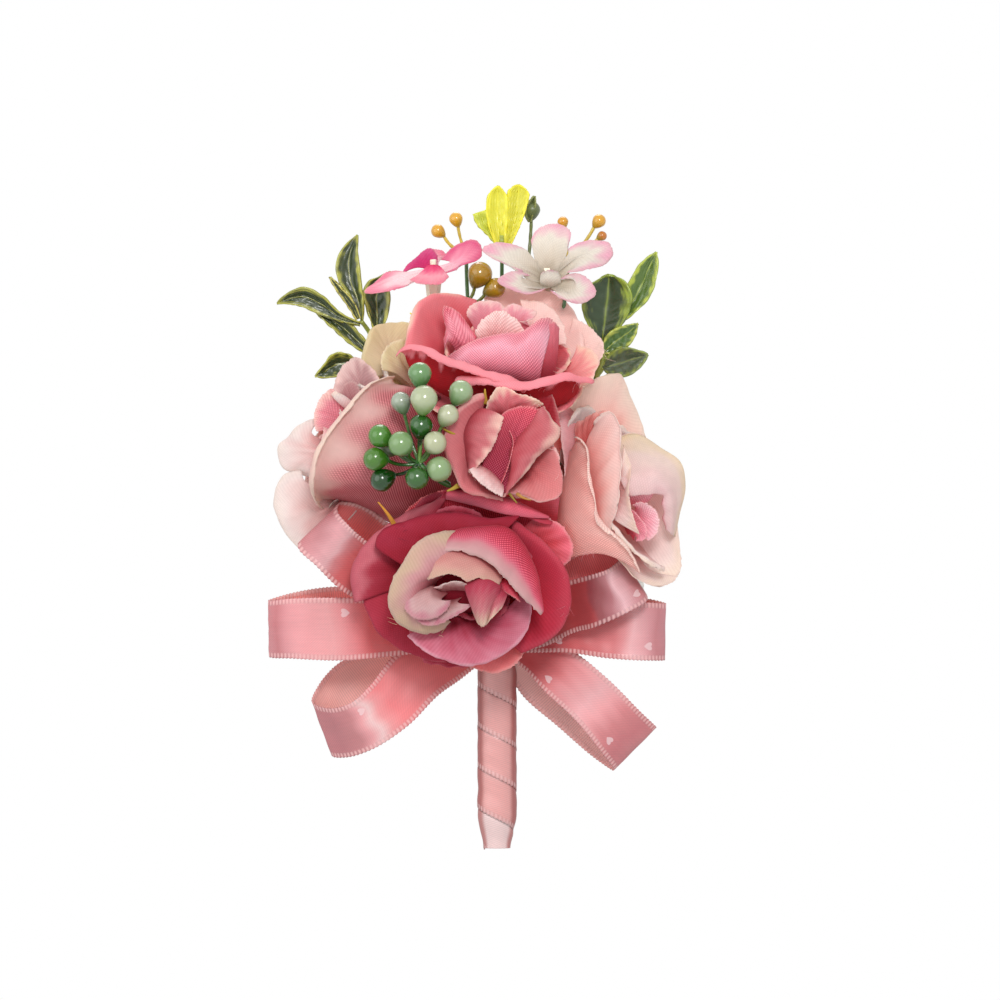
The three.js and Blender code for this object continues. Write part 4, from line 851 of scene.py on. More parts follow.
RIGHT = [
    ("outer", "TALL", """
        575,470,-14 585,468,-13 597,472,-12 / 568,436,-17.4 588,410,-15 616,402,-12 628,436,-11 /
        564,421,-18 572,402,-17 590,386,-15 609,377,-13 620,376,-11 628,394,-10 637,416,-10 641,436,-11""",
     {"roll": (0.8, 100)}),
    ("outer", "STRIP", """
        584,440,-14 586,475,-14 588,510,-14 / 572,410,-18 576,440,-21.6 574,478,-22.6 578,512,-21 /
        553,397,-19 559,420,-23 563,445,-25.5 564,475,-26.5 568,508,-26""", {}),
    ("second", "CUPNEAR", """
        580,470,-14 578,488,-14 576,508,-14 / 570,452,-24 566,488,-28 566,522,-28 568,557,-25 / 574,446,-26
        578,480,-30.4 586,522,-31 602,554,-29 / 577,440,-27 586,455,-30 588,472,-31.6 593,495,-32.6
        598,516,-32.9 614,533,-32 627,548,-30 636,570,-27""",
     {"net": 0.7, "roll": (0.7, -110), "columns": 65}),
    ("inner", "CORAL", """
        584,462,-20 596,460,-20 606,458,-20 / 575,440,-23.4 590,427,-24.2 608,430,-25 / 575,427,-22
        583,418,-23 597,412,-24.4 610,411,-25.4 617,420,-26.4""", {}),
    ("inner", "CUPPALE", """
        590,455,-20 592,490,-22 598,515,-22 / 586,446,-25 594,486,-27.4 598,522,-28 / 594,428,-25.6
        601,419,-26.4 610,415,-27 617,423,-27.8 620,437,-28.8 617,455,-29.6 618,474,-30 617,493,-30
        611,512,-29.6 607,530,-28.8""", {"roll": (0.6, -90)}),
    ("outer", "SALMONBACK", """
        575,470,-12 577,490,-12 579,510,-12 / 560,420,-15 560,470,-16 568,525,-16 / 548,404,-15.5
        549,430,-16 551,470,-16.5 560,522,-16.5""", {}),
    ("outer", "FAR", """
        612,500,-13 614,510,-13 612,520,-13 / 624,462,-15 650,480,-14 655,520,-14 640,555,-15.5 /
        612,438,-16 638,434,-15 661,450,-14.6 679,462,-14.6 683,484,-14.6 677,515,-15 680,545,-16
        679,574,-17 660,586,-18 640,578,-19""", {"columns": 65}),
    ("outer", "PILLOW", """
        612,442,-17 634,434,-16 662,449,-15.4 680,462,-15.4 685,486,-15.4 679,515,-15.8 675,536,-16 /
        616,466,-22.6 640,462,-22 662,468,-21 674,482,-20 677,500,-19.4 674,522,-18.8 672,535,-18 /
        623,486,-25.8 640,484,-25.6 656,484,-25 666,489,-23.8 670,502,-22.4 670,520,-21 670,533,-19.6 /
        627,494,-25.2 640,494,-25.2 655,493,-24.6 664,493,-23.6 665,504,-22.6 666,520,-21.2 668,531,-20""",
     {"roll": (0.4, 110), "columns": 65}),
    ("heart", "HEARTPINK", """
        616,500,-18 626,502,-18 640,502,-18 / 622,497,-21.6 636,499,-22.2 650,499,-21.6 / 625,492,-22.6
        639,490,-23 654,492,-22.4""", {"ruffle": 0.1, "net": 0.6}),
    ("heart", "HEARTPINK", """
        620,516,-17 627,528,-17 634,540,-17 / 636,507,-22 646,518,-22.6 642,536,-22 / 632,505,-23
        642,502,-23.8 653,507,-24 659,519,-23.8 657,533,-23.4 648,541,-22.8""", {"ruffle": 0.1, "net": 0.6}),
    ("heart", "CORE", """
        616,512,-17 622,522,-17 628,534,-17 / 628,512,-22.6 636,524,-23 637,538,-22.6 / 630,509,-24
        640,518,-24.6 647,529,-24.6 645,539,-24 636,541,-23""", {"ruffle": 0.1, "net": 0.5}),
    ("second", "FAR", """
        606,470,-18 610,490,-19 612,510,-19 / 622,462,-25 626,490,-25.6 622,525,-26 / 624,446,-24
        630,470,-26 630,496,-26.4 634,520,-26.6 640,536,-25.6""", {"net": 0.2}),
    ("second", "FAR", """
        606,508,-14 618,520,-12 632,528,-12 / 606,520,-24 630,548,-24 655,562,-19 / 611,522,-28
        622,535,-28.6 635,549,-28 649,560,-26 664,567,-22""", {"roll": (0.6, -110)}),
    ("outer", "FAR", """
        604,520,-14 620,535,-14 640,545,-14 / 604,540,-22 626,562,-22 655,572,-18 / 600,540,-26
        612,553,-26.8 624,568,-26.4 640,580,-24 660,587,-21 679,576,-18""", {}),
]

ROSES = {
    "front_rose": dict(base=(-6.16, -21, 5.5), facing=(-0.06, -1, -0.02), radius=17.5, petals=FRONT,
                       discs=["outer", "second", "third", "inner"], dye="DARK", heart_dye="BLUSH",
                       threads=[("second", "#e08a96", "566,606,-32 568,614,-31.8 563,578,-32"),
                                ("second", "#8a3044", "404,530,-34.6 398,536,-34.4"),
                                ("inner", "#e6d2b0", "398,622,-39 440,633,-37.6")]),
    "top_rose": dict(base=(0.77, -16.5, 38.5), facing=(-0.05, -0.58, 0.81), radius=16, petals=TOP,
                     discs=["outer", "second", "third", "inner"], dye="MID", heart_dye="PINKISH",
                     threads=[("outer", "#f2b4b8", "512,388,-34 546,388,-33.6 575,384,-31"),
                              ("outer", "#f4dcd0", "600,346,-17 604,356,-18"),
                              ("second", "#f4dcd0", "566,372,-27 560,378,-27.6")]),
    "left_rose": dict(base=(-21.2, -15, 27.5), facing=(-0.91, -0.27, 0.3), radius=16.5, petals=LEFT,
                      discs=["outer", "second", "inner"], dye="PALE", heart_dye="PINKISH", open=True),
    "right_rose": dict(base=(14.2, -12.5, 22.8), facing=(0.82, -0.55, 0.02), radius=16, petals=RIGHT,
                       discs=["outer", "second", "inner"], dye="PALE", heart_dye="PINKISH", open=True,
                       threads=[("second", "#f3c8cc", "572,550,-26 577,555,-27 584,553,-28.4 592,554,-29")]),
    "rose_bud": dict(base=(1.54, -28, 29.4), facing=(0, -0.97, 0.16), radius=9, petals=BUD,
                     discs=["outer", "inner"], dye="DUSKY", heart_dye="RED",
                     threads=[("outer", "#f4d6d0", "534,399,-37 540,403,-37 556,478,-37 520,493,-36.8"),
                              ("inner", "#f6ded6", "470,473,-39.4 548,446,-39")]),
    "back_rose": dict(base=(-12.3, -10.5, 35), facing=(-0.45, -0.45, 0.77), radius=9.5, petals=BACK,
                      discs=["outer", "inner"], dye="IVORY"),
}
# Each disc's reach as a share of its rose's radius, its height in radii and its petal count
DISCS = {"outer": (1.0, 0.3, 5), "second": (0.82, 0.52, 5), "third": (0.6, 0.66, 5), "inner": (0.42, 0.72, 5)}
SLOTS = {
    "front_rose": "deep_petal", "top_rose": "rose_petal", "rose_bud": "rose_petal",
    "left_rose": "pale_petal", "right_rose": "pale_petal", "back_rose": "cream_petal",
}


def turned_frame(facing):
    f = unit(facing)
    side = unit(np.cross((0.0, 0.0, 1.0) if abs(f[2]) < 0.9 else (1.0, 0.0, 0.0), f))
    return f, side, np.cross(f, side)


FOOT_RADIUS = 1.2
HALF_ANGLE = 0.72
DISC_BASE, DISC_STEP = 0.5, 0.7
HEART_RADIUS, HEART_HEIGHT, HEART_TURNS = 0.16, 0.62, 1.3


def ring_petal(base, facing, middle, reach, height, rng):
    """Curves of a petal on an axis, from its foot on the calyx to its rim."""
    f, u, v = turned_frame(facing)
    curves = []
    for t, spread in ((0, 0.55), (0.3, 0.9), (0.7, 1.0), (1, 0.8)):
        points = []
        for s in (-1, -0.5, 0, 0.5, 1):
            a = middle + HALF_ANGLE * spread * s
            wide = (reach - FOOT_RADIUS) * t**0.8 * (1 - 0.16 * s * s * t)
            out = FOOT_RADIUS + wide + rng.normal(0, 0.25) * t
            up = height * t**1.3 * (1 - 0.2 * s * s * t) + rng.normal(0, 0.25) * t
            points.append(np.asarray(base) + f * up + out * (math.cos(a) * u + math.sin(a) * v))
        curves.append(np.array(points))
    return curves


def heart_fold(base, facing, radius, height, turns):
    """A rolled petal: rows up a spiral wall that opens at its top."""
    f, u, v = turned_frame(facing)
    curves = []
    for t in (0, 0.5, 1):
        points = []
        for q in np.linspace(0, 1, 9):
            a = TAU * turns * q
            out = radius * (0.25 + 0.75 * q) * (0.6 + 0.55 * t)
            up = f * (height * t + 0.6 * q * t)
            points.append(np.asarray(base) + up + out * (math.cos(a) * u + math.sin(a) * v))
        curves.append(np.array(points))
    return curves


def in_the_way(axis, middle, limit):
    """Whether a ring petal points at the viewer or, under a rose that faces right, down over the ribbon."""
    _, u, v = turned_frame(axis)
    way = math.cos(middle) * u + math.sin(middle) * v
    return way[1] < limit or (axis[0] > 0.5 and way[2] < -0.3)


def build_rose(name, rose):
    """Each disc's and the heart's piece: hidden petals in rings, then those of the picture, then threads."""
    rng = np.random.default_rng(sum(map(ord, name)))
    nodes = {d: name + "_petals_" + d for d in rose["discs"]}
    if "heart_dye" in rose:
        nodes["heart"] = name + "_heart"
    pieces = {key: Piece(node, "cloth", SLOTS[name]) for key, node in nodes.items()}
    areas = dict.fromkeys(pieces, 0.0)
    axis = unit(rose["facing"])
    r = rose["radius"]
    level = lambda k: np.asarray(rose["base"]) + axis * (DISC_BASE + DISC_STEP * k)
    for k, key in enumerate(rose["discs"]):
        reach, height, count = DISCS[key]
        start = rng.uniform(0, TAU)
        for i in range(count):
            middle = start + TAU * i / count
            size = rng.uniform(0.86, 0.96)
            if rose.get("open") and in_the_way(axis, middle, 0.2 if key == "inner" else -0.3):
                continue
            curves = ring_petal(level(k), axis, middle, r * reach * size, r * height * size, rng)
            areas[key] += add_petal(
                pieces[key], curves, DYES[rose["dye"]], int(rng.integers(1e6)), columns=33, rows=19,
                ruffle=0.5, facing=axis, roll=(0.7, 80),
            )
    if "heart" in pieces:
        top = level(len(rose["discs"]))
        curves = heart_fold(top, axis, HEART_RADIUS * r, HEART_HEIGHT * r, HEART_TURNS)
        areas["heart"] += add_petal(
            pieces["heart"], curves, DYES[rose["heart_dye"]], 5, columns=65, rows=15, ruffle=0.1, facing=None
        )
    for i, (key, dye, text, extra) in enumerate(rose["petals"]):
        areas[key] += add_petal(pieces[key], curves_of(text), DYES[dye], i + 11, **extra)
    for i, (key, code, spots) in enumerate(rose.get("threads", [])):
        add_threads(pieces[key], spots, linear(code), i + 31)
    return [(piece, areas[key]) for key, piece in pieces.items()]


for rose_name, rose in ROSES.items():
    cloth = petal_cloth if SLOTS[rose_name] in ("deep_petal", "rose_petal") else pale_cloth
    for piece, area in build_rose(rose_name, rose):
        piece.lay(cloth, area, "laid", rose_name + "_stem")


# Ribbon

def picots(along):
    """How far the loops at the ribbon's edge stand out, 0 to 1."""
    return 0.5 + 0.5 * np.cos(TAU * along / PICOT_PITCH)


def add_ribbon(piece, tops, bottoms, painted_sheen_and_shade, inside):
    """A ribbon between its edges; its outer face has painted sheen and shade by station. Returns its area."""
    columns = 15
    middle = (tops + bottoms) / 2
    rows = int(reached(middle)[-1] / PICOT_PITCH * PICOT_STEPS)
    ts = np.linspace(0, 1, rows)
    pairs = np.stack([tops, bottoms], 1)
    both = spline(pairs, ts)
    steps = np.linalg.norm(np.diff(pairs, axis=0), axis=-1).mean(1)
    places = np.concatenate([[0], np.cumsum(steps)]) / steps.sum()
    station = np.interp(ts, places, np.arange(len(places)))[:, None]
    rng = np.random.default_rng(rows + 1)
    across = np.linspace(-1, 1, columns)[None, :]
    # The outer face's colour follows the stations: painted sheen bands and painted shade near the root,
    # wandering a little
    station = station + 0.1 * wander(rng, across * 0.7, station * 0.5, 4, 1.0)
    face = ramp(painted_sheen_and_shade, station)
    one, other = both[:, 0], both[:, 1]
    s = np.linspace(0, 1, columns)
    s = 0.5 - 0.5 * np.cos(np.pi * s) * (1 - 0.25 * np.sin(np.pi * s) ** 2)
    grid = one[:, None] * (1 - s)[None, :, None] + other[:, None] * s[None, :, None]
    along = reached((one + other) / 2)
    across = unit(other - one)
    loops = PICOT_REACH * picots(along)[:, None]
    grid[:, 0] -= across * loops
    grid[:, -1] += across * loops
    normal = normals_of(grid)
    s, v = s[None, :], along[:, None]
    rng = np.random.default_rng(rows)
    wave = wander(rng, s * 0.12, v / 24, 4, 1.0)
    fine = wander(rng, s * 2.0, v / 9, 5, 1.0)
    grid = grid + normal * (0.42 * wave + 0.04 * fine)[..., None]
    edge = smooth(0.80, 0.98, np.abs(2 * s - 1))[..., None]
    tone = 1 + 0.05 * wander(rng, s * 0.5, v / 18, 4, 1.0)[..., None]
    uv = joined((s - 0.5) * RIBBON_WIDTH, v)
    # The inner face's colour, lighter or darker from loop to loop, is painted light and shade; it pales
    # towards the edges
    piece.sheet(grid, RIBBON_THICKNESS, uv, face * tone, inside=blend_of(inside, "#f2b4ac", edge) * tone)
    return area_of(grid)


# Each loop's stations from its root out to its fold and back, each with its top and bottom edge, then the
# outer face's colours along the stations, with painted sheen bands and painted shade near the root, and the
# inner face's colour, lighter or darker from loop to loop as painted light and shade
LOOPS = {
    "left_upper": ("""
        486,632,-15.6 484,652,-15.6 / 450,604,-17 424,642,-17 / 405,568,-21 375,608,-21 / 366,541,-23.4
        338,587,-23.4 / 350,527,-23.4 317,566,-23.4 / 339,512,-21.8 300,547,-21.8 / 345,504,-20.2
        312,538,-20.2 / 360,505,-19.4 330,545,-19 / 390,525,-17.6 354,568,-17 / 440,590,-15 412,628,-15 /
        486,632,-15.1 484,650,-15.1""",
     "0 #c04a48 2 #cc4e50 3.1 #d25a5c 3.5 #cc787c 3.8 #dcacb0 4.3 #e6aab0 4.8 #cc8288 "
     "5.2 #d88e92 6.5 #cc7274", "#e4605e"),
    "left_middle": ("""
        486,630,-14.2 484,652,-14.2 / 455,606,-15 450,650,-15 / 400,600,-17 398,655,-17 / 345,598,-18
        345,660,-18 / 290,599,-17.5 292,658,-17.5 / 268,601,-14.5 269,656,-14.5 / 290,594,-11.6
        292,644,-11.6 / 338,587,-11 345,638,-11 / 400,592,-11.4 398,636,-11.4 / 450,608,-12.4 448,640,-12.4
        / 486,630,-13.6 484,650,-13.6""",
     "0 #b84044 1 #d0484c 2 #da484a 2.5 #e0585c 2.9 #ea9296 3.3 #f2b4b6 3.8 #eeacb0 "
     "4.2 #de969c 4.5 #c8787e 5 #d8989e 6 #cc7274", "#f2928c"),
    "left_lower": ("""
        480,634,-12.4 488,656,-12.4 / 430,634,-13 463,677,-13 / 395,655,-14.4 438,695,-14.4 / 371,685,-14.6
        407,726,-14.6 / 350,704,-13.8 374,748,-13.8 / 327,709,-12 347,757,-12 / 312,703,-9.3 332,755,-9.3 /
        319,686,-6.8 342,736,-6.8 / 346,659,-5.6 380,702,-5.6 / 395,645,-6.2 420,690,-6.2 / 445,638,-9
        458,664,-9 / 482,636,-11.8 488,654,-11.8""",
     "0 #d05658 2 #f38a8c 2.9 #f2888c 3.3 #f0a4a6 3.6 #f3d8d8 3.9 #f0b0b4 4.3 #cc888c "
     "5 #c07c82 6 #cc8288 7 #cc7274", "#f3c0b8"),
    "right_upper": ("""
        508,632,-15.6 510,652,-15.6 / 530,604,-17 544,646,-17 / 562,584,-20 574,632,-20 / 592,575,-22.5
        599,625,-22.5 / 610,568,-22 627,612,-22 / 621,555,-19.8 647,599,-19.8 / 614,546,-17.8 642,588,-17.6
        / 598,545,-17 620,588,-16.6 / 576,553,-16 592,600,-15.8 / 536,588,-15 548,630,-15 / 508,632,-15.1
        510,650,-15.1""",
     "0 #c04a48 2.3 #b83a3e 2.75 #c04a4e 2.9 #a84850 3.2 #a04850 3.55 #b87078 3.9 #f2ccd2 "
     "4.4 #dea0a6 5 #d2868c 6.5 #cc7274", "#f3888c"),
    "right_middle": ("""
        508,630,-14.2 510,652,-14.2 / 530,612,-15 532,652,-15 / 565,606,-16.4 565,652,-16.4 / 610,604,-17.7
        610,658,-17.7 / 648,603,-17 648,660,-17 / 667,604,-14.5 667,659,-14.5 / 648,599,-11.8 648,650,-11.8
        / 600,597,-11.2 600,645,-11.2 / 555,602,-11.6 555,642,-11.6 / 530,612,-12.6 530,642,-12.6 /
        508,630,-13.6 510,650,-13.6""",
     "0 #c04448 2 #d25054 3 #e07c80 3.3 #e89ca0 3.6 #f2c4c8 4 #dea2a8 4.4 #cc868c "
     "5 #d2929a 6 #cc7274", "#f2928c"),
    "right_lower": ("""
        512,634,-12.4 506,656,-12.4 / 540,638,-13 524,668,-13 / 570,650,-14.2 544,690,-14.2 / 606,678,-14.4
        574,718,-14.4 / 640,712,-13 602,752,-13 / 657,729,-9.5 615,771,-9.5 / 640,718,-6.6 598,760,-6.6 /
        600,682,-5.6 558,726,-5.6 / 566,656,-6.4 522,694,-6.4 / 536,640,-9 508,668,-9 / 512,636,-11.8
        506,654,-11.8""",
     "0 #c04448 1 #cc4a4e 2 #dc7478 2.6 #eeacb0 3 #f3c0c4 3.4 #f0b0b4 3.8 #dc8a8e "
     "4.3 #d07c82 5 #d68c90 6 #cc7274", "#f3cac4"),
}
for loop_name, (text, painted_sheen_and_shade, inside) in LOOPS.items():
    piece = Piece("ribbon_loop_" + loop_name, "satin", "satin_ribbon")
    edges = np.stack(curves_of(text), 1)
    one, other = edges[::-1] if loop_name.startswith("left") else edges
    piece.lay(satin, add_ribbon(piece, one, other, painted_sheen_and_shade, inside), "gathered", "bow_band", RIBBON_WIDTH)


def box_mm(node):
    lo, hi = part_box(node)
    return np.array(lo) / MM, np.array(hi) / MM


# Stem: one ribbon wound down the wires, each turn's lower edge over the next turn

NECK_Y = -7.355
WRAP_TOP = -10.36
STEM_END = -45.0
WRAP_PITCH = 7.67
WRAP_PHASE = 0.471
WRAP_TILT = 0.5
WRAP_INNER = 3.2
WRAP_REACH = 10.0
WRAP_RISE = 0.36
WRAP_RADIUS = 3.5
WRAP_EDGE = 1.2
WRAP_THICKNESS = 0.22
WRAP_PICOT = 0.3
DRAWN_LENGTH = 6.5
DRAWN_IN = 1.1
LAST_TURN = 2.471


def build_stem_ribbon():
    """The stem's ribbon: painted shade on the flanks, paler last turns, painted shadow under each turn's
    edge.
    """
    piece = Piece("stem_ribbon", "satin", "satin_ribbon")
    first = (WRAP_EDGE - WRAP_REACH) / WRAP_PITCH
    last = (WRAP_TOP - STEM_END - WRAP_EDGE) / WRAP_PITCH
    around = TAU * WRAP_RADIUS
    turns = np.linspace(first, last, int((last - first) * around / PICOT_PITCH * PICOT_STEPS))
    share = np.linspace(0, 1, 41)
    angle = TAU * (turns - WRAP_PHASE)
    upper = WRAP_TOP - WRAP_PITCH * turns - WRAP_TILT * np.sin(angle)
    start = np.clip((upper - WRAP_TOP) / WRAP_REACH, 0, 1)
    end = np.clip((upper - STEM_END) / WRAP_REACH, 0, 1)
    across = start[:, None] * (1 - share) + end[:, None] * share
    along = turns * around
    z = upper[:, None] - WRAP_REACH * across
    lower = np.zeros_like(z)
    lower[:, -1] = WRAP_PICOT * picots(along)
    z = z - lower * (end > 0.999)[:, None]
    drawn = DRAWN_IN * (1 - smooth(0, DRAWN_LENGTH, z - STEM_END))
    rng = np.random.default_rng(8)
    bump = wander(rng, turns[:, None] * 0.9, across * 1.2, 5, 1.0)
    radius = WRAP_INNER + WRAP_RISE * smooth(0.1, 0.34, across) - drawn + 0.06 * bump
    sin, cos = np.sin(angle)[:, None], np.cos(angle)[:, None]
    grid = np.stack([radius * sin, NECK_Y - radius * cos, z], -1)
    # painted shade: the ribbon is darker where it turns away on the stem's flanks
    painted_flank_shade = smooth(0.6, 0.86, np.abs(sin))[..., None]
    low = WRAP_TOP - WRAP_REACH - LAST_TURN * WRAP_PITCH
    last = smooth(-0.2, 0.2, -(z - low + 0.46 * grid[..., 0]))[..., None]
    colour = blend_of("#f0b4b0", "#bd6662", painted_flank_shade) * (1 - last) + blend_of("#f3dcda", "#cc8682", painted_flank_shade) * last
    # painted shadow: a dark line just below each turn's lower edge
    covered = 1 - WRAP_PITCH / WRAP_REACH
    painted_seam_shadow = smooth(covered - 0.04, covered, across) * (1 - smooth(covered + 0.02, covered + 0.05, across))
    colour = colour * (1 - 0.6 * painted_seam_shadow[..., None])
    piece.sheet(grid, WRAP_THICKNESS, joined((across - 0.5) * RIBBON_WIDTH, along[:, None]), colour)
    piece.lay(plain_satin, area_of(grid), "gathered", "neck_tape", WRAP_REACH)


def build_bow_band():
    """The ribbon drawn round the loops' roots and the neck."""
    lo, hi = box_mm("bow_band")
    piece = Piece("bow_band", "satin", "satin_ribbon")
    q = np.linspace(0, 1, 240)
    cos, sin = np.cos(TAU * q), np.sin(TAU * q)
    middle = (lo + hi) / 2
    half = (hi - lo) / 2 - 0.2
    squareness = 0.55
    y = middle[1] + half[1] * np.sign(cos) * np.abs(cos) ** squareness
    z = middle[2] + half[2] * np.sign(sin) * np.abs(sin) ** squareness
    s = np.linspace(-1, 1, 25)
    rng = np.random.default_rng(3)
    pleat = 0.16 * np.cos(4.5 * np.pi * s)[None, :] + 0.06 * wander(rng, s[None, :], 3 * q[:, None], 5)
    ring = joined(0.0, y, z)
    outward = unit(ring - (0.0, middle[1], middle[2]))
    grid = ring[:, None] + joined(s * half[0], 0.0, 0.0)[None]
    grid = grid + outward[:, None] * (pleat - 0.2 * np.abs(s) ** 3)[..., None]
    edge = smooth(0.82, 1, np.abs(s))[None, :, None]
    colour = blend_of("#cf8480", "#dea29c", edge) + 0 * grid
    uv = joined(s[None, :] * 5, 20 * q[:, None])
    grid, uv, colour = (x.swapaxes(0, 1)[:, :-1] for x in (grid, uv, colour))
    piece.sheet(grid, 0.3, uv, colour, closed=True)
    piece.lay(plain_satin, area_of(grid), "gathered", "neck_tape")


def build_neck_tape():
    """Crêpe tape wound round the wires, each turn over the last."""
    lo, hi = box_mm("neck_tape")
    piece = Piece("neck_tape", "crepe", "floral_tape")
    rows, columns = 60, 72
    z = np.linspace(lo[2], hi[2], rows)[:, None]
    a = TAU * np.arange(columns)[None, :] / columns
    rng = np.random.default_rng(4)
    t = (z - lo[2]) / (hi[2] - lo[2])
    waist = 3.72 - 0.3 * np.sin(np.pi * t)
    step = 0.14 * (((t * 3.2 + a / TAU) % 1) ** 2)
    folds = 0.08 * wander(rng, 3 * np.cos(a) + 2 * np.sin(a), 2 * t, 6)
    radius = waist + step + folds
    grid = joined(radius * np.cos(a), NECK_Y + radius * np.sin(a), z)
    tone = 1 + 0.12 * wander(rng, 2 * np.cos(a), 4 * t + np.sin(a), 5)
    piece.sheet(grid, 0.5, joined(3.6 * a, z), linear("#4f7a3e") * tone[..., None], closed=True)
    piece.lay(tape_material, area_of(grid), "gathered", "front_rose_stem")


def build_wristband():
    """A ribbed elastic band in a flattened ring, its front behind the pad."""
    piece = Piece("wristband", "elastic", "elastic")
    lo, hi = box_mm("wristband")
    # the ring's half width, its front part's depth, half its flat stretch, and that stretch's y
    side, half, flat, front = 27.6, 23.6, 12.0, -2.46
    middle_y = front + half

    def arc(cx, rx, ry, a0, a1, n):
        a = np.linspace(a0, a1, n, endpoint=False)
        return np.stack([cx + rx * np.cos(a), middle_y + ry * np.sin(a)], -1)

    path = np.concatenate([
        joined(np.linspace(-flat, flat, 40, endpoint=False), front),
        arc(flat, side - flat, half, -math.pi / 2, 0, 90),
        arc(0, side, hi[1] - 0.6 - middle_y, 0, math.pi, 220),
        arc(-flat, side - flat, half, math.pi, 1.5 * math.pi, 90),
    ])
    ring = np.concatenate([path, path[:1]])
    along = reached(ring)
    even = np.linspace(0, along[-1], 900, endpoint=False)
    x, y = (np.interp(even, along, ring[:, k]) for k in (0, 1))
    tangent = unit(np.stack([np.roll(x, -1) - np.roll(x, 1), np.roll(y, -1) - np.roll(y, 1)], -1))
    z = np.linspace(hi[2], lo[2], 67)[:, None]
    rng = np.random.default_rng(6)
    cord_pitch, ripple_pitch = 1.0, 1.1
    cords = 0.14 * np.abs(np.sin(np.pi * (z - lo[2]) / cord_pitch))
    ripple = 0.05 * np.sin(TAU * even / ripple_pitch)[None, :]
    wave = 0.1 * wander(rng, z / 20, 3 * np.cos(TAU * even / along[-1])[None, :], 4)
    shift = cords + ripple + wave
    grid = joined(x[None] + shift * tangent[:, 1], y[None] - shift * tangent[:, 0], z + 0.12 * wave)
    tone = 1 + 0.03 * wander(rng, z / 3, even[None, :] / 40, 4)[..., None]
    piece.sheet(grid, 0.85, joined(z, even[None, :]), linear("#e9e4dc") * tone, closed=True)
    piece.lay(elastic, area_of(grid), "stretched", "wrist_pad", hi[2] - lo[2])


def build_pad():
    """A soft felt pad with a stitched edge."""
    lo, hi = box_mm("wrist_pad")
    piece = Piece("wrist_pad", "felt", "felt")
    middle, half = (lo + hi) / 2, (hi - lo) / 2
    rows, columns = 41, 160
    a = TAU * np.arange(columns) / columns
    squareness = 0.5
    cx = np.sign(np.cos(a)) * np.abs(np.cos(a)) ** squareness * half[0]
    cz = np.sign(np.sin(a)) * np.abs(np.sin(a)) ** squareness * half[2]
    rng = np.random.default_rng(9)
    rings = []
    for t in np.linspace(-1, 1, rows):
        shrink = min(1.0, 1.22 * math.sin(math.acos(abs(t))) ** 0.45) if abs(t) < 1 else 0.02
        shrink = max(shrink, 0.02)
        depth = middle[1] + half[1] * np.sign(t) * min(1.0, 1.06 * math.sin(abs(t) * math.pi / 2))
        stitch = np.exp(-(((shrink - 0.86) / 0.05) ** 2)) * (0.16 + 0.08 * np.cos(a * 40))
        rings.append(np.stack([cx * shrink, depth - np.sign(t) * stitch, cz * shrink], -1))
    verts, faces = capped(rings)
    tone = 1 + 0.04 * wander(rng, verts[:, 0] / 8, verts[:, 2] / 8, 5)[:, None]
    piece.add(verts, faces[:, ::-1], verts[:, [0, 2]], linear("#efe9e2") * tone)
    piece.build(felt)


for build in (build_stem_ribbon, build_bow_band, build_neck_tape, build_wristband, build_pad):
    build()


# Wires, stalks, leaves, berries and small flowers

BOUQUET = np.array([38.5, -50.0, 78.5])
WIRE_END = -38.5
WIRE_RADIUS = 0.375
WIRE_GREEN = "#3f6a34"
NECK_TOP = -3.0


def place(share):
    return np.array(share) * BOUQUET


def slot_place(ring, index):
    a = TAU * index / (6 * ring)
    return np.array([ring * math.sin(a), NECK_Y - ring * math.cos(a), NECK_TOP])


WHOLE = WIRE_END - 1


def add_wire(piece, start, leave, slot, bottom=WHOLE):
    """A wire from its foot into its place in the bundle and down the stem, where it lies above the bottom."""
    start, leave, end = np.asarray(start, float), unit(leave), slot_place(*slot)
    reach = np.linalg.norm(end - start)
    one, two = start + leave * 0.3 * reach, end + np.array([0, 0, 0.45 * reach])
    q = np.linspace(0, 1, 22)[:, None]
    curve = (1 - q) ** 3 * start + 3 * (1 - q) ** 2 * q * one + 3 * (1 - q) * q * q * two + q**3 * end
    route = np.concatenate([curve, [(end[0], end[1], WIRE_END)]])
    piece.tube(route[route[:, 2] > bottom], WIRE_RADIUS, 10, linear(WIRE_GREEN))


def stalk(piece, points, radius, code, sides=8, seed=1):
    """A moulded stalk through points (mm), slightly uneven."""
    rng = np.random.default_rng(seed)
    q = np.linspace(0, 1, 26)
    wobble = 1 + 0.08 * wander(rng, 3 * q, 0 * q, 4)
    tone = 1 + 0.1 * wander(rng, 2 * q, 0 * q, 4)[:, None]
    piece.tube(spline(points, q), radius * wobble, sides, linear(code) * tone)


def berry(piece, middle, toward, radius, body, near, seed):
    """A teardrop whose point runs into its stalk, dyed from near (at the stalk) to body."""
    rng = np.random.default_rng(seed)
    f, u, v = turned_frame(unit(np.asarray(toward) - middle))
    a = TAU * np.arange(32) / 32
    around = np.cos(a)[:, None] * u + np.sin(a)[:, None] * v
    rings, colours = [], []
    dent = wander(rng, np.cos(a), np.sin(a), 4, 0.5)
    for t in np.linspace(0, 1, 29):
        along = -math.cos(math.pi * t)
        wide = math.sin(math.pi * t)
        if t > 0.5:
            q = (t - 0.5) * 2
            along *= 1 + 0.35 * q
            wide *= 1 - 0.22 * q
        r = radius * max(wide, 0.02) * (1 + 0.012 * dent)
        rings.append(middle + f * along * radius + r[:, None] * around)
        colours.append(blend_of(body, near, smooth(0.42, 0.95, t + 0.05 * dent)[:, None]))
    verts, faces = capped(rings)
    colour = np.concatenate([*colours, colours[0][:1], colours[-1][:1]])
    piece.add(verts, faces, verts[:, [0, 2]], colour)


LEAF_THICKNESS = 0.45
LEAF_GREEN = "#2a3619"
LEAF_RIM = "#98983a"
LEAF_STALK = "#7f8a3a"


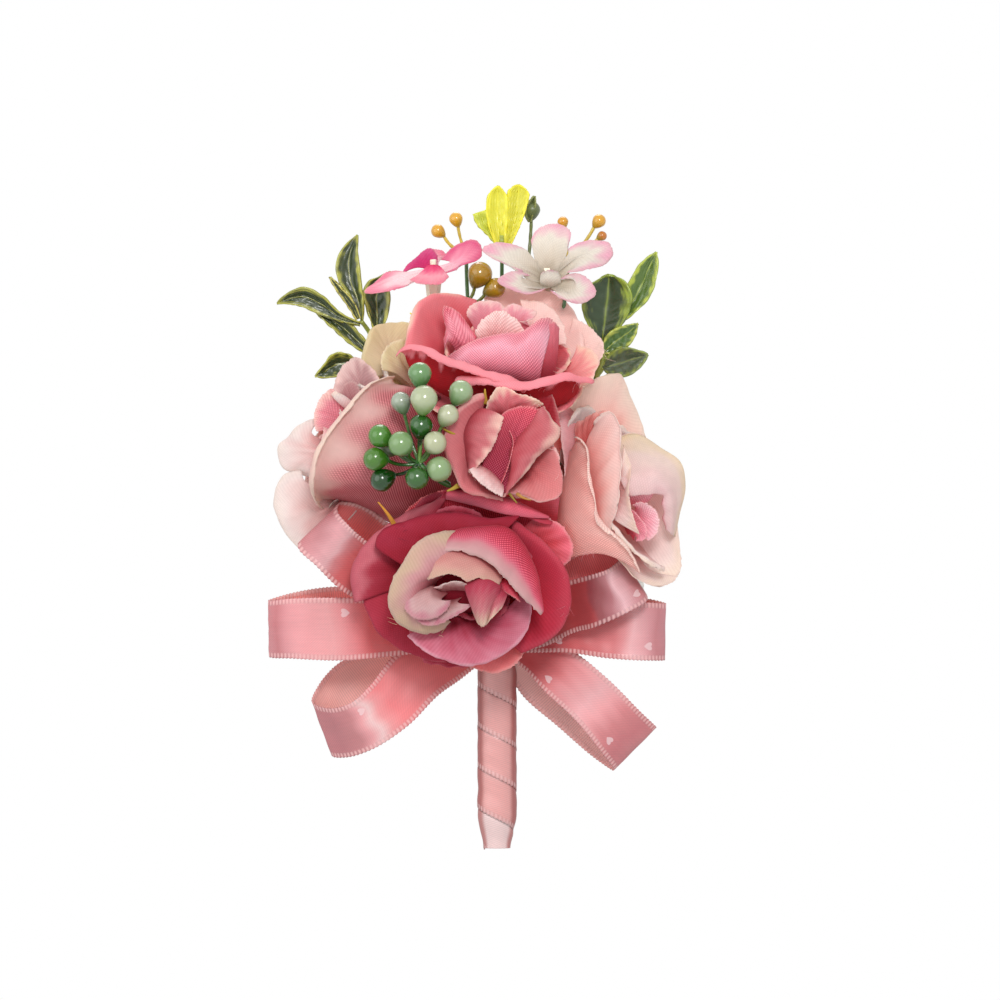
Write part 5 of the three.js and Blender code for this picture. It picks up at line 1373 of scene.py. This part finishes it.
def leaf(piece, seed, keel, text, centre=LEAF_GREEN, edge=LEAF_RIM, vein=0.05, veins=6):
    """A moulded leaf between its two edges, each from its base to its tip, folded along its rib."""
    rng = np.random.default_rng(seed)
    t = np.linspace(0, 1, 61)
    one, other = (spline(line, t) for line in curves_of(text))
    middle = (one + other) / 2
    across = unit(other - one)
    along = unit(np.gradient(middle, axis=0))
    normal = unit(np.cross(across, along))
    normal *= np.sign(-normal[:, 1:2].mean() or 1)
    s = np.linspace(-1, 1, 31)[None, :]
    t = t[:, None]
    width = np.linalg.norm(other - one, axis=1)[:, None]
    grid = middle[:, None] + (other - one)[:, None] * (s / 2)[..., None]
    fold = keel * (np.abs(s) - 0.5) * width
    ribs = vein * np.sin(TAU * (veins * (t - 0.16 * np.abs(s)))) * smooth(0, 0.3, np.abs(s))
    rib = -0.2 * np.exp(-((s / 0.07) ** 2)) * (1 - 0.6 * t)
    rough = 0.06 * wander(rng, 2 * s, 3 * t, 6)
    lift = fold + (ribs + rough - rib) * np.minimum(1, width / 3)
    grid = grid + normal[:, None] * lift[..., None]
    rim = smooth(0.62, 1.02, np.abs(s) + 0.14 * wander(rng, 3 * s, 4 * t, 5))
    rim = np.maximum(rim, smooth(0.9, 1.0, t))
    spine = np.exp(-((s / 0.05) ** 2)) * 0.6
    shade = np.clip(rim + spine * (1 - rim), 0, 1)[..., None]
    piece.sheet(grid, LEAF_THICKNESS, flat_uv(grid), blend_of(centre, edge, shade))


# Each leaf: its seed, how deeply it folds, its two edges, and what is special to it
LEAVES = {
    "left_leaf_spray": [
        (1, 0.28, """
            361,320,-7.6 350,298,-7.4 339,281,-7 336,266,-6.8 341,252,-6.6 357,235,-6.4 / 363,320,-7.6
            364,300,-8 362,285,-7.8 360,268,-7.4 358,252,-7 358,235,-6.4""",
         {}),
        (2, 0.3, """
            356,320,-7.6 346,304,-7.8 336,290,-8 329,277,-8 / 361,318,-7.6 354,302,-7.8 342,288,-8
            331,277,-8""",
         {"edge": "#b0a850"}),
        (3, 0.28, """
            360,322,-7.6 340,312,-8 322,295,-8.4 304,287,-8.4 290,292,-8.2 277,303,-8 / 360,326,-7.6
            340,321,-7.6 318,313,-7.6 300,306,-7.8 288,304,-8 277,304,-8""",
         {}),
        (4, 0.28, """
            370,356,-6.6 350,344,-6.6 334,330,-6.6 322,319,-6.6 314,311,-6.6 / 373,350,-6.6 362,336,-6.6
            346,320,-6.6 330,313,-6.6 315,311,-6.6""",
         {}),
        (5, 0.28, """
            375,332,-6.6 366,308,-6.4 363,294,-6 368,282,-5.8 378,277,-5.6 391,271,-5.5 / 377,332,-6.6
            384,325,-6.4 389,310,-6 390,296,-5.8 388,284,-5.6 391,271,-5.5""",
         {}),
        (6, 0.25, """
            359,364,-6.6 345,353,-7 332,354,-7.4 324,364,-7.6 315,376,-7.6 / 360,370,-6.6 350,374,-6.8
            340,376,-7 328,378,-7.4 315,377,-7.6""",
         {}),
    ],
    "right_leaf_spray": [
        (7, 0.16, """
            600,342,-8 588,325,-8.6 582,305,-9 586,288,-9.4 596,280,-9.6 607,275,-10 / 604,342,-8
            618,330,-8.6 629,312,-9 632,294,-9.4 624,280,-9.6 609,275,-10""",
         {"centre": "#26391a", "edge": "#8a9c34", "veins": 8}),
        (8, 0.26, """
            618,320,-8.5 622,300,-8.5 630,280,-8.5 640,264,-8.5 656,252,-8.5 / 621,322,-8.5 636,312,-8.5
            650,296,-8.5 657,275,-8.5 657,252,-8.5""",
         {"centre": "#4c6428", "edge": "#a4b040"}),
        (9, 0.25, """
            603,350,-8.5 606,336,-8.8 616,328,-9 627,325,-9 638,323,-9 / 606,354,-8.5 618,352,-8.6
            629,345,-8.8 636,334,-9 638,324,-9""",
         {"centre": "#44602a", "edge": "#a8b04a"}),
        (10, 0.25, """
            603,366,-8 612,352,-8.6 624,347,-9 636,349,-9.4 648,354,-9.5 / 604,370,-8 614,376,-8.4
            628,376,-8.8 640,368,-9.2 648,355,-9.5""",
         {"centre": "#46523c", "edge": "#7c8a3a"}),
    ],
    "top_leaf": [
        (11, 0.2, """
            496,246,-6.4 486,234,-6.6 478,226,-6.8 473,214,-7 / 499,246,-6.4 495,234,-6.6 492,222,-6.8
            485,210,-7""",
         {"centre": "#a8b030", "edge": "#c4c83c", "vein": 0.02, "veins": 5}),
        (12, 0.2, """
            497,248,-6.6 489,228,-6.8 486,208,-7 490,192,-7.2 498,186,-7.4 / 506,248,-6.6 507,228,-6.8
            508,208,-7 506,194,-7.2 499,186,-7.4""",
         {"centre": "#c4c02c", "edge": "#dcd430", "vein": 0.02, "veins": 7}),
        (13, 0.2, """
            504,247,-6.2 507,228,-6.4 507,206,-6.6 509,190,-6.8 518,185,-7 / 510,247,-6.2 520,226,-6.4
            527,206,-6.6 529,193,-6.8 519,185,-7""",
         {"centre": "#c0bc2c", "edge": "#dcd42e", "vein": 0.02, "veins": 7}),
    ],
    "green_bud": [
        (14, 0.4, """
            529,222,-3.6 525,212,-3.8 528,203,-4 534,196,-4 / 531,222,-3.6 534,213,-3.8 536,204,-4
            535,196,-4""",
         {"centre": "#46502c", "edge": "#7a8040", "veins": 3}),
    ],
}

berries = Piece("berry_spray", "moulded", "berry")
# Each berry: its middle px, py, y, its radius in pixels, its colour and that near its stalk
BERRIES = [
    (420, 374, -38.5, 12, "#5b7f4f", "#2d6026"), (424, 399, -41, 14, "#98a081", "#668e3b"),
    (401, 402, -36, 10.5, "#8a9383", "#4b6b3d"), (461, 392, -38.5, 12.3, "#819570", "#4b743d"),
    (448, 415, -40, 11, "#a1a488", "#58793d"), (421, 426, -39, 12, "#1e4d14", "#11400f"),
    (380, 436, -39, 12, "#427126", "#205c15"), (386, 447, -35, 11, "#8a8e79", "#4b6737"),
    (401, 444, -41.2, 13, "#6a8756", "#235b1b"), (435, 443, -41, 12, "#9ea283", "#547d33"),
    (375, 459, -39, 12, "#3c6719", "#1d5a0f"), (439, 469, -40.6, 13, "#778e63", "#3e7037"),
    (382, 480, -38, 12, "#083506", "#042c04"), (417, 478, -40.6, 12, "#28521c", "#154611"),
]
fork, berry_foot = at([(419, 463, -36), (449, 485, -31.5)])
for i, (px, py, y, radius, body, near) in enumerate(BERRIES):
    middle = at([(px, py, y)])[0]
    size = radius / PIXELS_PER_MM
    start = middle + unit(fork - middle) * size * 1.1
    berry(berries, middle, fork, size * 0.98, body, near, i)
    stalk(berries, [start, (start + fork) / 2 + np.array([0, 1.0, -0.6]), fork], 0.34, near, seed=i)
stalk(berries, [fork, (fork + berry_foot) / 2 + (0, 0.6, -0.4), berry_foot], 0.6, "#2f5526", 10)
add_wire(berries, berry_foot, (0.05, 0.95, -0.2), (2, 10))
berries.build(berry_plastic)

# Each spray: its foot, the place that its wire comes from, the wire's slot, and its stalks' ends
LEAF_SPRAYS = {
    "left_leaf_spray": ([-0.57, 0.07, 0.6], [-0.66, 0.14, 0.69], (2, 8),
                        [(361, 321, -7.6), (376, 334, -6.6), (372, 354, -6.6), (359, 367, -6.6)]),
    "right_leaf_spray": ([0.48, 0.16, 0.55], [0.5, 0.17, 0.63], (2, 4),
                         [(602, 341, -8), (619, 322, -8.5), (604, 352, -8.5), (603, 368, -8)]),
}
for name, (foot, above, wire_slot, tips) in LEAF_SPRAYS.items():
    spray = Piece(name, "moulded", "leaf")
    for seed, keel, text, extra in LEAVES[name]:
        leaf(spray, seed, keel, text, **extra)
    foot = place(foot)
    for tip in tips:
        end = at([tip])[0]
        stalk(spray, [foot, (foot + end) / 2 + (0.3, 0.2, 0.4), end], 0.42, LEAF_STALK, seed=tip[0])
    add_wire(spray, foot, foot - place(above), wire_slot)
    spray.build(leaf_plastic)

top_leaf = Piece("top_leaf", "moulded", "yellow_leaf")
for seed, keel, text, extra in LEAVES["top_leaf"]:
    leaf(top_leaf, seed, keel, text, **extra)
base = at([(502, 246, -6.5)])[0]
stalk(top_leaf, [base + (0, 0, 2), base, base - (0, 0, 2)], 0.6, "#8f9a3e")
add_wire(top_leaf, base, (0, 0, -1), (2, 6))
top_leaf.build(leaf_plastic)

sepals = Piece("rose_sepals", "moulded", "calyx", replaces=False)
for text, radius, code in [
    ("396,528,-29 387,513,-31.5 378,502,-32.6", 0.62, "#c98a34"),
    ("486,404,-35.4 485,396,-36.4 485,389,-37", 0.55, "#b08a34"),
    ("484,404,-35.4 478,400,-36.4 473,397,-37.2", 0.55, "#a08430"),
    ("456,436,-36.6 449,432,-38 442,428,-38.6", 0.6, "#a88c30"),
    ("460,484,-36 454,488,-36.8 447,491,-37.4", 0.6, "#a08a34"),
    ("514,490,-36 520,496,-36.8 531,500,-37", 0.5, "#a87a3c"),
    ("506,488,-35.6 512,497,-36.4 517,503,-36.6", 0.45, "#8f7a34"),
    ("424,324,-16 417,318,-16.6 410,313,-17", 0.6, "#d0c040"),
    ("426,322,-16 422,316,-16.6 418,309,-17", 0.55, "#c8b840"),
]:
    path = spline(curves_of(text)[0], np.linspace(0, 1, 12))
    sepals.tube(path, radius * np.linspace(1, 0.25, 12), 10, linear(code), 0.45)
sepals.build(tape_material)

# Each small spray: its slot, its foot, its wire's slot and bottom, its berries as above, its stalks' colour
# and its material
SPRAYS = {
    "green_bud": ("leaf", [0.155, 0.06, 0.84], (1, 2), WHOLE,
                  [(532, 210, -3, 8.5, "#59633c", "#3e4a2a")], "#5c6636", leaf_plastic),
    "olive_berries": ("olive_berry", [-0.15, 0.26, 0.73], (2, 11), 42.0,
                      [(480, 274, -14, 12.5, "#946f14", "#665914"),
                       (495, 288, -13.5, 10.5, "#9b771a", "#625b19")], "#57601c", berry_plastic),
    "stamens_left": ("stamen", [-0.15, 0.13, 0.85], (2, 7), WHOLE,
                     [(438, 231, -7, 7, "#c08d21", "#9b7a1d"),
                      (456, 219, -7, 7, "#c49223", "#a37e1d")], "#b8a03c", berry_plastic),
    "stamens_right": ("stamen", [0.345, 0.2, 0.84], (2, 5), WHOLE,
                      [(563, 222, -9.5, 5.6, "#bd851e", "#947a1d"),
                       (599, 221, -9.5, 7, "#c08d21", "#9b7a1d"),
                       (602, 236, -10, 5, "#aa661e", "#847e26")], "#b8a03c", berry_plastic),
}
for name, (spray_slot, foot, wire_slot, bottom, buds, code, plastic) in SPRAYS.items():
    spray = Piece(name, "moulded", spray_slot)
    foot = place(foot)
    for i, (px, py, y, radius, body, near) in enumerate(buds):
        middle = at([(px, py, y)])[0]
        size = radius / PIXELS_PER_MM
        start = middle + unit(foot - middle) * size
        berry(spray, middle, start + (foot - middle) * 0.2, size, body, near, i)
        stalk(spray, [start, (start + foot) / 2 + (0.0, 0.3, -0.8), foot], 0.32, code, seed=i)
    add_wire(spray, foot, (0, 0, -1), wire_slot, bottom)
    for seed, keel, text, extra in LEAVES.get(name, []):
        leaf(spray, seed, keel, text, **extra)
    spray.build(plastic)


WHITE_FLOWER = [
    """
        540,278,-13.6 547,272,-13.4 556,276,-13.6 / 534,256,-14.4 550,248,-15 566,256,-14.6 / 531,240,-14.6
        537,230,-14.4 548,224,-14.2 562,225,-14.2 570,231,-14.4 568,243,-14.8""",
    """
        546,284,-13.8 541,279,-13.6 545,273,-13.4 / 524,276,-16 510,262,-16.4 528,252,-15 / 523,270,-16.4
        505,264,-16.8 491,258,-16.8 482,250,-16.4 494,243,-15.8 511,244,-15.2 526,250,-14.8""",
    """
        552,272,-13.4 557,276,-13.6 556,282,-13.8 / 568,254,-15 586,254,-15.6 572,270,-16 / 568,250,-14.6
        583,241,-14.8 598,240,-15 610,244,-15.2 613,254,-15.6 606,264,-16 594,268,-16.4 567,273,-16.6""",
    """
        554,286,-14 548,288,-14 542,284,-13.8 / 534,292,-17 520,286,-17.4 522,276,-16.6 / 546,288,-16.6
        527,294,-18 512,290,-18.2 497,281,-17.8 512,272,-16.8 530,276,-16""",
    """
        558,280,-13.8 556,286,-14 550,288,-14 / 574,278,-16.6 576,294,-17.6 556,292,-17 / 560,279,-16
        573,273,-16.4 589,279,-17.2 596,293,-18 583,303,-18.4 567,301,-18 550,290,-16.6""",
    """
        542,288,-13 550,291,-13 559,287,-13 / 540,280,-14.8 550,278,-15.3 561,280,-14.8 / 542,272,-13.2
        550,269,-13.4 559,273,-13.2""",
]
SIDE_FLOWER = [
    """
        428,270,-13 433,268,-12.6 438,270,-13 / 414,268,-13.4 424,260,-12.6 436,264,-12.8 / 401,275,-13.6
        408,264,-12.8 417,256,-12 431,248,-11.4 436,254,-11.6 437,266,-12.4""",
    """
        438,266,-14 440,270,-14.4 438,275,-14.8 / 450,262,-14 460,262,-15 456,270,-15.4 / 441,260,-13
        459,244,-13.4 475,240,-14 482,248,-14.4 481,257,-14.8 460,266,-15.4 441,275,-15.6""",
    """
        427,268,-14 425,271,-14.4 428,276,-14.6 / 408,272,-15 398,278,-16 408,285,-16.4 / 402,272,-14.6
        390,271,-15.4 374,283,-16.2 364,292,-16.8 377,293,-17 390,291,-16.8 409,285,-16.6""",
    """
        429,266,-11 433,264,-10.6 438,266,-11 / 424,258,-8 434,254,-7.4 444,258,-8 / 418,256,-7 430,249,-6.6
        444,252,-6.8 448,260,-7""",
    """
        427,266,-15.6 433,265,-16 439,266,-15.6 / 420,273,-17 433,275,-17.8 445,272,-17 / 410,280,-17.6
        422,284,-18.8 436,285,-19 449,277,-18""",
]
SIDE_DYES = [
    "0 #d8407e 0.6 #d64a86 1 #de6c9e",
    "0 #f3e0e4 0.6 #f0b8c8 1 #e06c98",
    "0 #f3e6e8 0.7 #f3dade 1 #ec9ab2",
    "0 #f0dce0 0.5 #f0c4ce 1 #ec9cb4",
    DYES["TIPPED"],
]
for name, petal_slot, petals, dyes, seed in (
    ("white_flower", "white_petal", WHITE_FLOWER, [DYES["WHITE"]] * len(WHITE_FLOWER), 70),
    ("side_flower", "tipped_petal", SIDE_FLOWER, SIDE_DYES, 90),
):
    flower = Piece(name + "_petals", "cloth", petal_slot)
    area = sum(add_petal(flower, curves_of(text), dye, seed + i, ruffle=0.15, fray=0.05)
               for i, (text, dye) in enumerate(zip(petals, dyes)))
    flower.lay(pale_cloth, area, "laid", name + "_stem")


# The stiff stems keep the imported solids

def dye_node(node, code):
    mesh = bpy.data.objects[node].data
    if "dye" not in mesh.color_attributes:
        set_dye(mesh, np.tile(linear(code), (len(mesh.vertices), 1)))
    mesh.materials.clear()
    mesh.materials.append(calyx_plastic)


for rose_name in ROSES:
    dye_node(rose_name + "_stem", "#5f7836")
for flower_name in ("white_flower", "side_flower"):
    dye_node(flower_name + "_stem", "#e6dcc8")


# Backdrop and light: the world is white where it is seen and a little dimmer where it lights

bpy.context.scene.world = bpy.data.worlds.new("world")
n = Nodes(bpy.context.scene.world)
rays = n.make("LightPath").outputs
seen = rays["Is Camera Ray"]
for kind in ("Is Glossy Ray", "Is Transmission Ray"):
    seen = n.math("MAXIMUM", seen, rays[kind])
level = n.make("MapRange", {"To Min": 0.86, "To Max": 1.0, "Value": seen}).outputs["Result"]
background = n.make("Background", {"Color": (1, 1, 1, 1), "Strength": level})
n.make("OutputWorld", {"Surface": background})


def area_light(name, place_mm, aim_mm, size, power):
    light = bpy.data.lights.new(name, "AREA")
    light.shape = "DISK"
    light.size = size
    light.energy = power
    obj = bpy.data.objects.new(name, light)
    bpy.context.scene.collection.objects.link(obj)
    start, aim = np.array(place_mm) * MM, np.array(aim_mm) * MM
    obj.location = start
    obj.rotation_euler = Vector((aim - start).tolist()).to_track_quat("-Z", "Y").to_euler()


area_light("key", (50, -700, 300), (0, -15, 15), 0.2, 3.4)
area_light("fill", (-420, -350, 160), (0, -15, 10), 0.5, 1.0)
area_light("rim", (0, 260, 450), (0, -10, 20), 0.3, 0.8)

bpy.context.scene.view_settings.view_transform = "Standard"

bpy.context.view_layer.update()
